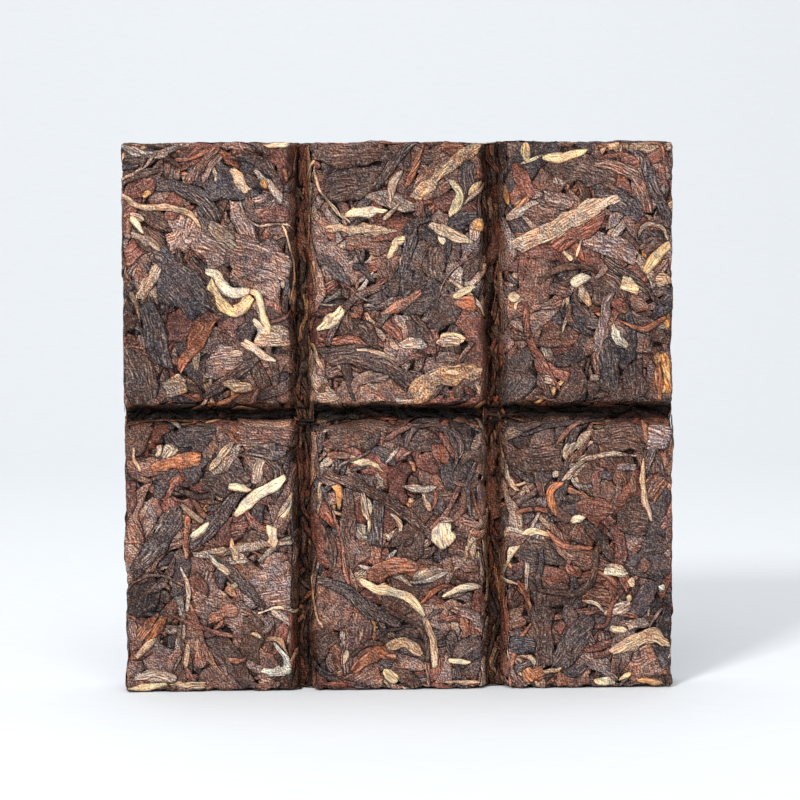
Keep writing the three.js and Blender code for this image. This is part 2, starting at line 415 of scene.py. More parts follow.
def settled(points):
    """Moves places sideways by waves of up to about 0.3 mm, so that no edge runs true.

    Near the foot nothing moves down: the wave there only lifts, so that the brick still stands.
    """
    x, z = points[:, 0], points[:, 2]
    free = np.clip(z / FOOT_HEIGHT, 0, 1)
    aside, up = (SLOW_SHIFT * SLOW(*at) + QUICK_SHIFT * QUICK(*at) for at in ((x, z), (z + 40, x)))
    lifted = FOOT_LIFT * np.clip(QUICK(x, 60) + 0.2, 0, 1)
    moved = points.copy()
    moved[:, 0] += aside
    moved[:, 2] += up * free + lifted * (1 - free)
    return moved


class Heap:
    """The leaves of one kind, gathered as arrays and turned into one mesh at the end."""

    def __init__(self):
        self.parts, self.total = [], 0

    def add(self, points, faces, tint, grain, form, sunk):
        """Adds one leaf. The fourth number of its colour is the depth in a groove, in millimetres, times
        that wall's gloom: how much painted groove shade the leaf gets.
        """
        colour = np.column_stack([np.broadcast_to(tint, (len(points), 3)), sunk])
        self.parts.append((points, faces + self.total, colour, grain, form))
        self.total += len(points)

    def build(self, name, material):
        """One smooth closed mesh of triangles, with each leaf's colour and grain as attributes."""
        points, faces, tint, grain, form = (np.concatenate(part) for part in zip(*self.parts))
        mesh = bpy.data.meshes.new(name)
        mesh.vertices.add(len(points))
        mesh.vertices.foreach_set("co", (settled(points) * MM).astype(np.float32).ravel())
        mesh.loops.add(faces.size)
        mesh.loops.foreach_set("vertex_index", faces.astype(np.int32).ravel())
        mesh.polygons.add(len(faces))
        mesh.polygons.foreach_set("loop_start", np.arange(0, faces.size, 3, dtype=np.int32))
        mesh.update(calc_edges=True)
        mesh.polygons.foreach_set("use_smooth", np.ones(len(faces), bool))
        for label, kind, field, values in (
            ("tint", "FLOAT_COLOR", "color", tint),
            ("grain", "FLOAT_VECTOR", "vector", grain),
            ("form", "FLOAT_VECTOR", "vector", form),
        ):
            layer = mesh.attributes.new(label, kind, "POINT")
            layer.data.foreach_set(field, values.astype(np.float32).ravel())
        mesh.materials.append(material)
        piece = placed(name, mesh)
        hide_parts(NODE)
        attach(piece, BODY)


def tube_faces(rows, around):
    """The triangles of a tube of rings, closed by a fan at each end, facing outwards."""
    i, k = np.meshgrid(np.arange(rows - 1), np.arange(around), indexing="ij")
    here, beside = i * around + k, i * around + (k + 1) % around
    wall = np.stack([here, here + around, beside + around, here, beside + around, beside], -1)
    k = np.arange(1, around - 1)
    start = np.stack([np.zeros_like(k), k, k + 1], -1)
    end = np.stack([np.zeros_like(k), k + 1, k], -1) + (rows - 1) * around
    return np.concatenate([wall.reshape(-1, 3), start, end])


# A leaf's outline: the share of its length over which it narrows to a tip, how blunt the tip is,
# how much its width swings and is torn, and in millimetres how far from its ends it is frayed, how
# deep at most, and how long its rounded ends are.
TIP_SHARE, BLUNTNESS = 0.33, (0.8, 1.7)
WIDTH_SWING, TORN_WIDTH = 0.16, (0.3, 1.6)
FRAYED, FRAY_HEIGHT, FRAY_LIMIT = 2.2, 0.7, 1.5
END_LENGTH = 0.8

# A leaf's section: its thickness at most as a share of its width, how much thinner its rim and its
# ends are, and how far the waves push the ridges aside.
THICKEST_SHARE, THINNER_RIM, THINNER_ENDS = 0.62, 0.85, 0.6
RIDGE_SHIFT = 1.2

# How much of a leaf may enter shut cells.
SHUT_SHARE = 0.012


def outline(leaf, make, rng, rows, columns):
    """The grid of a leaf's places on its chart, with t from 0 to 1 along it and v -1 to 1 across it.

    A place is the middle line's, plus v times half the width sideways. The width narrows towards
    the make's tips, and is torn by heights that are straight between kinks. Near both ends a
    wave and a slant shift places forwards, so that the ends are frayed.
    """
    centre, run = smooth_line(leaf.path, rows + 1)
    way = np.gradient(centre, axis=0)
    way /= np.hypot(*way.T)[:, None]
    t, v = np.linspace(0, 1, rows + 1)[:, None], np.linspace(-1, 1, columns + 1)[None, :]
    start, end = rng.uniform(*make.tips, 2)
    sharp = rng.uniform(*BLUNTNESS)
    opening, closing = (np.clip(1 - share / TIP_SHARE, 0, 1) ** sharp for share in (t, 1 - t))
    narrow = 1 - (1 - start) * opening - (1 - end) * closing
    narrow *= 1 + WIDTH_SWING * waves(rng, 4, 12, 3)(t * run, 0)
    spacing = rng.uniform(0.8, 1.6) * (0.8 + 0.3 * leaf.width)
    left, right = (kinked(rng, t * run, run, spacing) for _ in range(2))
    torn = np.clip(1 + make.ragged * np.where(v < 0, left, right), *TORN_WIDTH)
    side = leaf.width / 2 * narrow * torn
    across = side * v
    fray, slant = waves(rng, 0.7, 3.5), rng.normal(0, 0.4, 2)
    forward = 0
    for k, share in enumerate((t, 1 - t)):
        cut = np.clip(FRAY_HEIGHT * fray(across, 30 * k) + slant[k] * across, -FRAY_LIMIT, FRAY_LIMIT)
        forward = forward + np.clip(1 - share * run / FRAYED, 0, 1) * cut
    forward = min(1, run / 6) * forward
    a = centre[:, :1] - way[:, 1:] * across + way[:, :1] * forward
    b = centre[:, 1:] + way[:, :1] * across + way[:, 1:] * forward
    return a, b, t, v, side, across, run


def lay(chart, leaf, heap, tint, rng, step, least=0.0):
    """Lays one leaf on a chart under all that lie there, and returns whether any of it shows.

    Across the leaf the top falls by edge_drop |v|^roundness, with ridges cos(2 pi ridges v / 2 +
    phase) and waves added. Where something lies over it, it follows the lowest point of that
    within one step, smoothed, so it dips under and rises again on the other side.
    """
    make = MAKES[leaf.make]
    fine = math.ceil(step / CELL)
    rows = max(3, round(float(np.sum(np.hypot(*np.diff(leaf.path, axis=0).T))) / step))
    columns = int(np.clip(round(leaf.width / step), 3, 12))
    a, b, t, v, side, across, run = outline(leaf, make, rng, rows * fine, columns * fine)
    cells = chart.cells(a, b)
    bare = chart.bare.ravel()[cells]
    if bare.mean() < least or chart.shut.ravel()[cells].mean() > SHUT_SHARE:
        return False

    if least:
        shown = np.flatnonzero(bare.any(axis=1))
        first = max(0, shown[0] // fine - 3)
        last = min(rows, -(-shown[-1] // fine) + 3)
        if last - first < 2:
            return False
        kept = slice(first * fine, last * fine + 1)
        a, b, t, across, side, cells = (values[kept] for values in (a, b, t, across, side, cells))
        rows = last - first

    thick = min(make.thick, leaf.width * THICKEST_SHARE)
    drop = make.edge_drop * min(1.3, leaf.width / 1.4) * rng.uniform(0.6, 1.3)
    swell = waves(rng, 2.2, 8.0)(t * run, across)
    ridges = make.ridges * rng.uniform(0.6, 1.5) * max(1, leaf.width / 3)
    ridge = np.cos(math.pi * ridges * v + rng.uniform(0, 6) + RIDGE_SHIFT * swell)
    ends = np.clip(1 - np.minimum(t, 1 - t) * run / END_LENGTH, 0, 1) ** 2
    own = leaf.lift + make.wrinkle * swell + make.ridge_depth * ridge
    own = own - drop * np.abs(v) ** make.roundness - (0.05 + 0.3 * thick) * ends
    over = spread(spread(chart.room.ravel()[cells], fine // 3, np.minimum), fine - 1, np.add)
    top = np.maximum(np.minimum(own, over - CLEARANCE), -DEEPEST)
    under = top - thick * (1 - THINNER_RIM * np.abs(v) ** 2.5) * (1 - THINNER_ENDS * ends) - 0.02
    np.minimum.at(chart.room.ravel(), cells.ravel(), under.ravel())
    chart.bare.ravel()[cells.ravel()] = False

    # Each ring of the tube is the top from side to side, and then one point under its middle.
    ring = np.arange(0, rows * fine + 1, fine)
    over_top, under_middle = np.arange(0, columns * fine + 1, fine), [round(columns * fine / 2)]
    grid = np.ix_(ring, [*over_top, *under_middle])
    height = np.hstack([top[np.ix_(ring, over_top)], under[np.ix_(ring, under_middle)]])
    points, sunk = chart.to_space(a[grid], b[grid], height)
    along = np.broadcast_to(t * run, across.shape)[grid]
    grain = np.stack([along, across[grid], np.full_like(along, rng.uniform(0, 100))], -1)
    edge = np.broadcast_to(side, across.shape)[grid] - np.abs(across[grid])
    fibre = rng.uniform(*make.fibre) if least else make.fibre[1]
    # The form holds the distance from the leaf's edge, which sets the painted edge shade and highlight, the
    # fibre share, and the depth under the mould's face, which sets the painted crevice shade.
    form = np.stack([edge, np.full_like(along, fibre), np.clip(-height, 0, 2)], -1)
    faces = tube_faces(rows + 1, columns + 2)
    points, grain, form = (values.reshape(-1, 3) for values in (points, grain, form))
    heap.add(points, faces, tint, grain, form, sunk.ravel())
    return True


# The leaves and stalks that stand out on the front, by pad and by make. Each is its colour, its width
# and the places that its middle line passes through, across and up in millimetres. The first makes
# lie over the others, and so do the first leaves of a make.
SHOWN_TABLE = {
    "upper left pad": {
        "stalk": """
            tan 1.3 -50.5,91.5 -47,89.3 -42,89 -38,88 -36,85.5; straw 1.2 -48.7,88 -47.5,86 -46.5,84.5;
            cream 1.9 -35.2,77.4 -33.2,76.4 -31,73.9 -27,73.6;
            cream 1.5 -27.2,73.8 -25.7,73 -24.6,69 -23.6,66""",
        "bud": """
            gold 1.2 -44.9,92.2 -46.6,91.2; russet 3.2 -44.4,93.6 -46.3,92.5 -48.4,91;
            gold 1.4 -24.9,94.4 -24,92.6""",
        "shred": """
            straw 2.2 -34.3,75.2 -32,71.2 -29.8,69.9 -27.6,72.7; cream 1.8 -26.6,68.8 -24,65.8;
            fibre 2 -44,78 -45.7,75 -47.3,72.3; umber 1.3 -50.8,93 -47,95 -42.5,96;
            brown 1.8 -38.5,93.7 -34.5,98.5 -32,101; taupe 1.4 -36,94 -32.5,98.5;
            cream 1 -24,100.2 -19.5,100.7; fibre 2.5 -34.5,86 -30,82; rust 3 -35,68 -37.5,64 -40,59.5;
            fibre 1.8 -31.5,62.5 -28.5,62.5; tan 2.4 -31.8,56.8 -27,56.2;
            tan 1.6 -28.5,64.7 -25,62 -22.5,61; tan 2 -30,96 -27.5,92""",
        "rolled": """
            slate 3 -44,93 -40,92.5 -36,90.5 -33,86.5; umber 2 -30,98 -26,97.8 -23,95.5 -21,92;
            umber 2.2 -24.5,62.5 -30,58.5 -36,54.5""",
        "broad": """
            taupe 8 -38,84 -29,80.5 -20,77; slate 6 -44.5,80 -40,75 -36,70;
            slate 4.2 -46,72 -44.5,66 -42.5,60; russet 3.2 -25.5,87.8 -20,87.8; taupe 7 -35,60 -28,60;
            fibre 4 -43,56 -39,56.5; fibre 5 -26,65.5 -20,64.8; slate 6 -49,63 -46.5,53.5""",
    },
    "upper middle pad": {
        "stalk": """
            tan 0.6 -15.5,97 -15,94 -13.5,91 -11,88 -9,86.3; fibre 1.5 0.5,95.5 -1,92.5 -1.5,90;
            tan 1 0,89.5 -3,86.5; straw 1.9 9.5,93.8 11.2,91.5 10.8,89 9.3,87.3;
            fibre 1 17,93.5 13,90.5 12,89; tan 2.1 5.5,86 9.5,84.2 13.5,82.4;
            taupe 1.8 -8.5,55 -7,57.5 -2,57.8""",
        "bud": """
            russet 2 -15.3,97.5 -14.6,95.8""",
        "shred": """
            cream 1.8 -10.2,87.8 -6.5,88.2 -2.5,88.2; tan 1.8 -13,85.3 -7,84.8 0,84.8;
            rust 1.3 4.5,100.5 3,96 1.2,92; rust 2.2 14.2,95 16.6,94.6; gold 2.6 13.6,86.2 16.4,85.4;
            straw 1.5 1.5,83.2 -0.5,82.5 -1.5,79.5; slate 2.6 -15,80.5 -12,78 -9,75;
            cream 1.7 -10,70.3 -12.5,68 -15,66.7; rust 1.8 -3,69.5 0.5,71 4,73.5; fibre 2.2 0,64 5,64.3;
            fibre 2 7,64.5 11.5,64; tan 0.7 -8,63 -4.5,62.6 -1,61; fibre 2.2 -15,54.2 -10.8,54.5;
            tan 1 14.2,57 15,54; straw 1.7 14.5,74.5 10,72.5""",
        "rolled": """
            slate 1.8 -4,92.5 -1,96.5 2.5,101; slate 2.6 6,87 3,86 2,82 0,77; slate 2 5,75 0.5,72 -4,70.5;
            umber 1.6 3,69 6,65 6.5,61""",
        "broad": """
            umber 4.5 -16,98.8 -8,98.8 -1,98; umber 5 -14,92 -8,93.5 -2,95;
            tan 2.5 15.2,100.8 9,96.2 3,90.5; slate 3.5 12.6,98 12.6,91; umber 4 -13.5,61.5 -6,62 2,57;
            tan 3.8 2.5,54 6,57 10,58.3 15,58.5; rust 2.4 10,71 14,71.3""",
    },
    "upper right pad": {
        "stalk": """
            straw 1.9 26.5,98 30,98 34.5,99; cream 1.9 50,82.2 47.6,79.8 45.3,76.8;
            umber 1.3 25,74.5 29,77.5 33,78.2 36,77.3; rust 1 41,68 45,66.5 49,68.5""",
        "bud": """
            cream 2.4 31.8,75.5 34.9,76.1""",
        "shred": """
            russet 2.6 29,81.5 33.5,84.3 38,87.5; straw 1.8 23.5,100.5 23.5,97;
            cream 0.8 22.5,96.7 26.5,98.5; amber 1.2 21.5,89 24,90.5; fibre 2 20,86 22.5,88.5 25,90;
            cream 2 41,75 44,74; taupe 2.2 39,73 37.5,67 36.5,62; amber 1.6 47.5,60 48,53.5;
            fibre 1.6 35.3,57.8 36.9,57.5; fibre 1.4 26.9,57.3 28.2,56.8; umber 2.5 19,71 18.5,66;
            cream 2 20,72.8 22.2,72.3""",
        "rolled": """
            slate 2.2 41,99.5 45,97.5 47,92 50,85.5; umber 1.8 38,79 44,75 49,70.5""",
        "broad": """
            tan 3.9 21.6,81.6 28,84.5 34,88 40.4,90.6; russet 3.4 21,97 22.5,94 24.5,91;
            brown 2.4 36,97 40.5,96 44,94 46,88; umber 4 44.8,81.5 48.3,82; gold 3 48,62.5 49.5,55;
            slate 4 38,64 39.5,55; umber 6 43.2,60.5 43.6,53.5""",
    },
    "lower left pad": {
        "stalk": """
            cream 1.3 -31.5,38 -27,37.3; cream 2.3 -30.5,32.3 -26.5,36 -21,39.5;
            cream 1.3 -38.3,28.7 -35,31.3; fibre 0.8 -40.5,23.3 -39,19 -39,15;
            russet 1 -42,14.5 -35,11.5 -29,10.3; tan 1.5 -49,6.5 -45,10;
            straw 1.5 -50,0.6 -46.5,0.8 -43,1.3; tan 1 -39.5,9 -39.5,4.5; fibre 1 -20,36 -22.5,32.5;
            fibre 1.5 -34.5,26 -31.5,26.5""",
        "shred": """
            tan 2 -43.5,43.3 -41,45.2; tan 1.8 -35,41 -30.5,46; rust 1.5 -38.7,33 -39.2,30 -39,26.5;
            rust 2 -44.5,14.5 -48,10; fibre 2.2 -49,3 -45,3 -41,2.5;
            cream 2 -23.5,9 -21,6 -22,3.5 -25.5,4; tan 1.2 -20,5 -18,7 -15.5,7.5;
            straw 1.2 -27.5,11 -25.5,10; cream 2.2 -23.5,30.5 -23,26.5; tan 1.1 -31,28.5 -30,24.5;
            tan 1 -19,27.5 -19,24""",
        "rolled": """
            slate 3 -38.5,26.5 -34,31.5 -29,37.3; slate 2 -33.5,25 -29,20 -26,16;
            slate 4 -49,22 -44,28 -41,34; slate 2.8 -27,44.8 -20,44.3""",
        "broad": """
            amber 2.8 -45,41.5 -41,42.6 -36.5,43; rust 2.5 -35.5,13.5 -30,15.3; taupe 7.5 -29,18 -20,19.5;
            slate 5 -41,47 -35,46.5; brown 5.5 -29,47.5 -20,46.5""",
    },
    "lower middle pad": {
        "stalk": """
            cream 1.8 -7.5,20.8 -4.5,19 -1.5,18.3 2,16.8 4.5,14; tan 1.5 4.6,13.6 5.8,10 6.3,6 6.5,4.2;
            umber 1 -2,14.5 3,12 5,8 4.8,5.5; fibre 0.8 -2.3,42 0,45.2; brown 1.4 -13,43.7 -9,43.5;
            umber 1.2 3.5,48.5 7,49 9.5,46 10.5,43 9.8,41; umber 1.1 1,45 2.2,47.5 4,49;
            fibre 1.3 0.5,37.8 4,37.2 7,37.5; fibre 0.9 2,20 5,20.5 9,21.7; rust 1 4,16.5 7,19 10,19.5;
            cream 1.4 8,17.5 12,18.8 15,18.8; cream 0.9 -10.5,5.3 -9.5,7.5;
            umber 1.1 -9,6.5 -6,8.8 -3,8.5; straw 1 9,5.3 13,5; tan 0.8 8,1.5 15,1;
            taupe 0.8 14.7,25 14.9,20.5""",
        "shred": """
            straw 1.5 -8,41.7 -5.5,42 -2.5,40.2; cream 3.4 8.1,31 8.7,26.6; taupe 1.5 7.4,31.6 9.8,31.3;
            brown 2 11.5,31.4 15,30.2; fibre 1.4 -6.7,36.2 -6.1,31.8; taupe 1.6 -8.9,27.9 -7.2,25.4;
            tan 2.5 -2.5,8 1,8.5 4,6.5; rust 3 -9,3.5 -5,7 -1,6.5; straw 1.8 -3,3.7 -0.5,1.7;
            russet 1.5 -15,1 -8,1.2; umber 2 -13,30 -12.5,22""",
        "rolled": """
            slate 2.6 -15,20.5 -10,18.5 -6,15.3 0,11.8; umber 2.3 -14,40.5 -8,38 -4,36 2,32 7,27.5 8,25.5""",
        "broad": """
            rust 3 -5.5,21.5 0,23 5,22; umber 3 -9.5,37 -9,23; slate 2.5 -5,35 -4.5,27""",
    },
    "lower right pad": {
        "stalk": """
            amber 1.6 30,38.3 27.8,36.5 28.8,32.2; tan 1.1 45,43 45,37 46.5,31;
            rust 1.2 27,29.3 30,26.5 35.5,26; umber 1.5 36.5,26 36,21 33,18 29,17.8 25,18.5;
            cream 0.8 33.5,16.3 36,15.8 37.7,14; russet 1 41,18 39,15.5 38.3,12 36,11.5;
            taupe 0.6 48.5,15 46,11; straw 0.8 40.5,1.5 43,2.7; gold 1.3 44,1 48,1;
            fibre 0.8 30,38.5 33,41.5""",
        "bud": """
            cream 1.9 31.4,31.2 34.2,31.7; straw 1.6 42.1,19.8 43.3,19.2; cream 1.5 41.8,16.9 42.8,16.5;
            cream 1.5 48,18.8 49,18.3""",
        "shred": """
            amber 1.4 45,51 45.5,46; brown 2 18.5,23.5 19.5,27 24,28.5; cream 1.6 38,21.7 41.5,21.5;
            tan 2.8 38.8,6.7 43,8.3 47,9.5 50,8; cream 1.5 39,11.5 42,10.5; fibre 2.2 42,11.5 46,12;
            straw 1.8 36,1.5 39.5,0.8; amber 2.6 23,3.8 24.6,1.2; rust 2.4 22.6,1.8 26.4,3.2;
            brown 1.4 20,4 21.5,1.2 24,0.6; rust 2 18.5,17 19.5,9; tan 2 30,43 33,46;
            taupe 2 40,41 43.5,41; slate 2 36.5,39.5 39,39.5""",
        "broad": """
            russet 5.5 33,33.5 39,32.5; slate 3 20,8.2 25,8.2; umber 3.5 26,18 26.5,4; slate 4 35,13 29,4;
            umber 5 20,42.5 30,42.5; umber 5.5 35,46.8 45,46.5; taupe 4.5 45,46.8 49.5,46.2;
            umber 6.5 40,31.5 46,31.5""",
    },
    "all the pads, laid under the others of their make": {
        "stalk": """
            fibre 0.9 -19,27.6 -17.9,25.6 -18.8,23.4; tan 1 -20.3,5.4 -18.2,7.5;
            tan 0.8 -12.6,43.9 -8.2,43.3; fibre 0.8 44,83 45.5,85.6 48.5,85.2 49.6,83;
            tan 0.8 17.5,20.8 22,19.4""",
        "shred": """
            straw 1.3 12.7,90.2 14,92.4 16,93.8; cream 1 7.4,83.9 8.6,82.7; amber 1.2 2.2,42.4 3,40.6;
            cream 1.2 -6.3,35.6 -5.6,32.8; straw 0.8 -5.8,32 -5.7,29.4; cream 1.3 12.7,30.9 15.2,30.2;
            rust 1.3 13.2,29 15.4,28.8; straw 0.9 14.5,25.6 14.9,23.4 15.4,21;
            fibre 2.2 2.6,20 5.6,21.6 8.8,21.8; fibre 2 -27,38.8 -25,43; straw 1.6 -21.8,32.2 -19.2,36.8;
            amber 1.5 -39,32.6 -39.2,25; amber 1.8 -43.2,14 -46.6,9.4; amber 1.6 -32.1,19.2 -30.2,17.8;
            tan 1.5 -42.6,1.5 -36,1.3; tan 1.2 -35.2,25.4 -31.4,21.8; tan 3 47,75.5 50.2,75;
            cream 1.3 30.2,81.2 31.9,79.4; tan 1.1 33.6,82.8 32.8,79.8;
            cream 1.6 39.4,67.2 40,64.8 42.2,63.4; straw 2.6 7.2,65.2 12.3,64.4; russet 1.6 48,97 49,93;
            straw 2.4 19.8,23.4 21.6,27.4 24.6,29.2 27.6,28.4; fibre 1.8 38.4,22.6 42.2,21.2;
            fibre 1.2 31,38.6 33.6,42.2 38,43.4 43.6,43.2""",
        "rolled": """
            slate 1.8 5.6,48.6 9.6,47.6 11.1,44.6 10,41.5; slate 2 -3.9,36.6 -4.1,31 -3.7,27""",
        "broad": """
            umber 6 27,96 33,96.4 40,94; slate 4.2 36,91.6 41,90 44.5,86.6; taupe 3.6 27,90.6 31.8,89.6;
            taupe 4 34.5,83.5 43.5,79.5; russet 2.8 6.5,45.4 8.8,42; fibre 2.6 -34,40.4 -29.4,45.4;
            slate 3.6 44.6,84.2 48.2,81.2; russet 2.5 -14,99 -11,97; rust 3 8,99.5 12,100;
            slate 4 45,26.5 49.5,26.5""",
    },
}
ON_TOP = ("stalk", "bud", "shred", "rolled", "broad")


def shown_leaves(make):
    """The leaves of one make that the table describes, pad by pad."""
    for rows in SHOWN_TABLE.values():
        for row in rows[make].split(";") if make in rows else ():
            colour, width, *places = row.split()
            path = np.array([place.split(",") for place in places], float)
            yield Leaf(make, colour, float(width), path)


SHOWN = [leaf for make in ON_TOP for leaf in shown_leaves(make)]


# What the fill draws from: a make, how often, and its range of widths and lengths.
Mix = namedtuple("Mix", "make share width length colours")
FRONT_MIX = (
    Mix("broad", 0.44, (3.0, 7.5), (6, 15), "brown brown taupe taupe umber russet slate"),
    Mix("rolled", 0.28, (1.5, 3.4), (8, 20), "slate slate umber brown fibre russet taupe"),
    Mix("shred", 0.17, (0.8, 2.4), (4, 12), "fibre russet rust brown tan umber slate"),
    Mix("stalk", 0.09, (0.6, 1.3), (7, 16), "russet tan fibre umber rust"),
    Mix("bud", 0.02, (1.2, 2.0), (4, 8), "tan gold fibre"),
)
SHARD_MIX = (
    Mix("shred", 0.60, (0.6, 1.4), (1.5, 5.0), "fibre russet rust slate brown umber tan taupe"),
    Mix("broad", 0.40, (1.4, 3.0), (2.5, 5.0), "russet slate brown umber taupe fibre"),
)
STRAND_MIX = (
    Mix("rolled", 0.45, (0.9, 2.0), (8, 18), "slate umber brown slate russet"),
    Mix("shred", 0.35, (0.5, 1.3), (5, 12), "fibre tan russet umber rust slate"),
    Mix("stalk", 0.20, (0.35, 0.8), (7, 16), "fibre russet umber tan"),
)
GROOVE_MIX = (
    Mix("broad", 0.30, (1.4, 3.0), (8, 20), "umber brown umber russet slate"),
    Mix("rolled", 0.36, (0.7, 1.7), (8, 22), "slate umber slate brown russet"),
    Mix("shred", 0.34, (0.4, 1.2), (3, 12), "russet rust umber brown fibre tan"),
)
RIM_MIX = (
    Mix("broad", 0.48, (1.2, 3.2), (5, 14), "brown umber taupe russet slate"),
    Mix("rolled", 0.16, (0.8, 1.5), (5, 12), "slate umber brown fibre"),
    Mix("shred", 0.28, (0.5, 1.4), (3, 8), "fibre russet rust brown tan slate"),
    Mix("stalk", 0.08, (0.5, 1.0), (4, 10), "russet tan fibre umber straw"),
)


# When the fill of a chart ends, how much of each leaf must show, and how far past a pad's edge the
# middle of a shown leaf may lie, in millimetres.
ENOUGH_BARE, MISSES_ALLOWED = 0.008, 300
LEAST_OF_FILL, LEAST_OF_STREWN = 0.08, 0.3
NEARBY = 3

# How a leaf's colour varies, and how light it may get.
WARMER = np.array([0.06, 0.0, -0.08])
LIGHTNESS, PALEST = (0.6, 1.4), 0.9

# A drawn leaf's bow and its unevenness, as shares of its length, with the places along it.
BOW, BOW_NOISE, ALONG = 0.12, 0.035, np.array([-0.5, -0.17, 0.17, 0.5])


def kind_of(make, colour):
    """The kind of leaf that a piece gathers, from its make and its colour."""
    if make != "broad":
        return {"rolled": "rolled_leaves", "stalk": "stalks", "bud": "buds", "shred": "torn_bits"}[make]
    if colour in ("russet", "rust", "amber"):
        return "russet_leaves"
    return "dark_leaves" if colour in ("umber", "slate") else "brown_leaves"


def tinted(colour, rng, vary):
    """A leaf's own colour: the named one, a little lighter or darker, redder or greyer."""
    base = np.array(getattr(bpy.context.scene.tea_colours, colour)[:])
    base = base * np.clip(rng.normal(1, vary), *LIGHTNESS) * (1 + rng.normal() * WARMER)
    return base * min(1, PALEST / base.max())


def any_leaf(middle, mixes, way, rng, sink):
    """A leaf drawn from some mixes, whose gently bowed middle line passes near a place."""
    shares = np.array([mix.share for mix in mixes])
    mix = mixes[rng.choice(len(mixes), p=shares / shares.sum())]
    run, width = rng.uniform(*mix.length), rng.uniform(*mix.width)
    direction = np.array([math.cos(way), math.sin(way)])
    sideways = direction[::-1] * (-1, 1)
    middle = middle + rng.uniform(-0.35, 0.35) * run * direction
    middle = middle + rng.uniform(-0.3, 0.3) * width * sideways
    aside = rng.normal(0, BOW) * run * (1 - 4 * ALONG**2) + rng.normal(0, BOW_NOISE, 4) * run
    path = middle + np.outer(ALONG * run, direction) + np.outer(aside, sideways)
    return Leaf(mix.make, rng.choice(mix.colours.split()), width, path, -sink * rng.uniform() ** 2)


class Bed:
    """The leaves of one region, laid on its charts one after another from one random source."""

    def __init__(self, region, seed, step):
        self.region, self.step = region, step
        self.rng = np.random.default_rng(seed)
        self.heaps = defaultdict(Heap)

    def put(self, chart, leaf, least=0.0, vary=0.15):
        """Lays one leaf and gathers it with its kind, and returns whether any of it shows."""
        heap, tint = self.heaps[kind_of(leaf.make, leaf.colour)], tinted(leaf.colour, self.rng, vary)
        return lay(chart, leaf, heap, tint, self.rng, self.step, least)

    def strew(self, chart, mixes, count):
        """Lays a number of thin leaves anywhere, before the fill, so that they lie over it."""
        for _ in range(count):
            middle = self.rng.uniform(chart.low + REACH, chart.high - REACH)
            leaf = any_leaf(middle, mixes, self.rng.uniform(0, math.pi), self.rng, 0.05)
            self.put(chart, leaf, LEAST_OF_STREWN)

    def fill(self, chart, mixes, way_at, sink):
        """Lays leaves over bare places picked at random, until hardly any place is bare."""
        enough, misses = chart.bare.sum() * ENOUGH_BARE, 0
        while chart.bare.sum() > enough and misses < MISSES_ALLOWED:
            spots = np.flatnonzero(chart.bare)
            spot = spots[self.rng.integers(len(spots))]
            middle = np.array([chart.a.ravel()[spot], chart.b.ravel()[spot]])
            leaf = any_leaf(middle, mixes, way_at(middle, self.rng), self.rng, sink)
            misses += not self.put(chart, leaf, LEAST_OF_FILL)

    def unevenness(self, chart, height, *lengths):
        """Waves over a chart, mostly below its face, so that not every leaf lies flush."""
        return height * (waves(self.rng, *lengths)(chart.a, chart.b) - 0.6)

    def build(self):
        """Makes one piece for each kind of leaf in the region."""
        materials = leaf_materials()
        for kind, heap in sorted(self.heaps.items()):
            if heap.parts:
                heap.build(f"{self.region}_{kind}", materials[kind])


def along_edges(low, high, near=0.3):
    """Directions for leaves: any way in the open, and along the edge close to an edge."""

    def way(place, rng):
        gaps = [place[0] - low[0], high[0] - place[0], place[1] - low[1], high[1] - place[1]]
        side = int(np.argmin(gaps))
        if gaps[side] > near:
            return rng.uniform(0, math.pi)
        return rng.normal(math.pi / 2 if side < 2 else 0, 0.5)

    return way


def lengthwise(way=0.0):
    """Directions for leaves that run one way, give or take a small turn."""
    return lambda place, rng: rng.normal(way, 0.12)


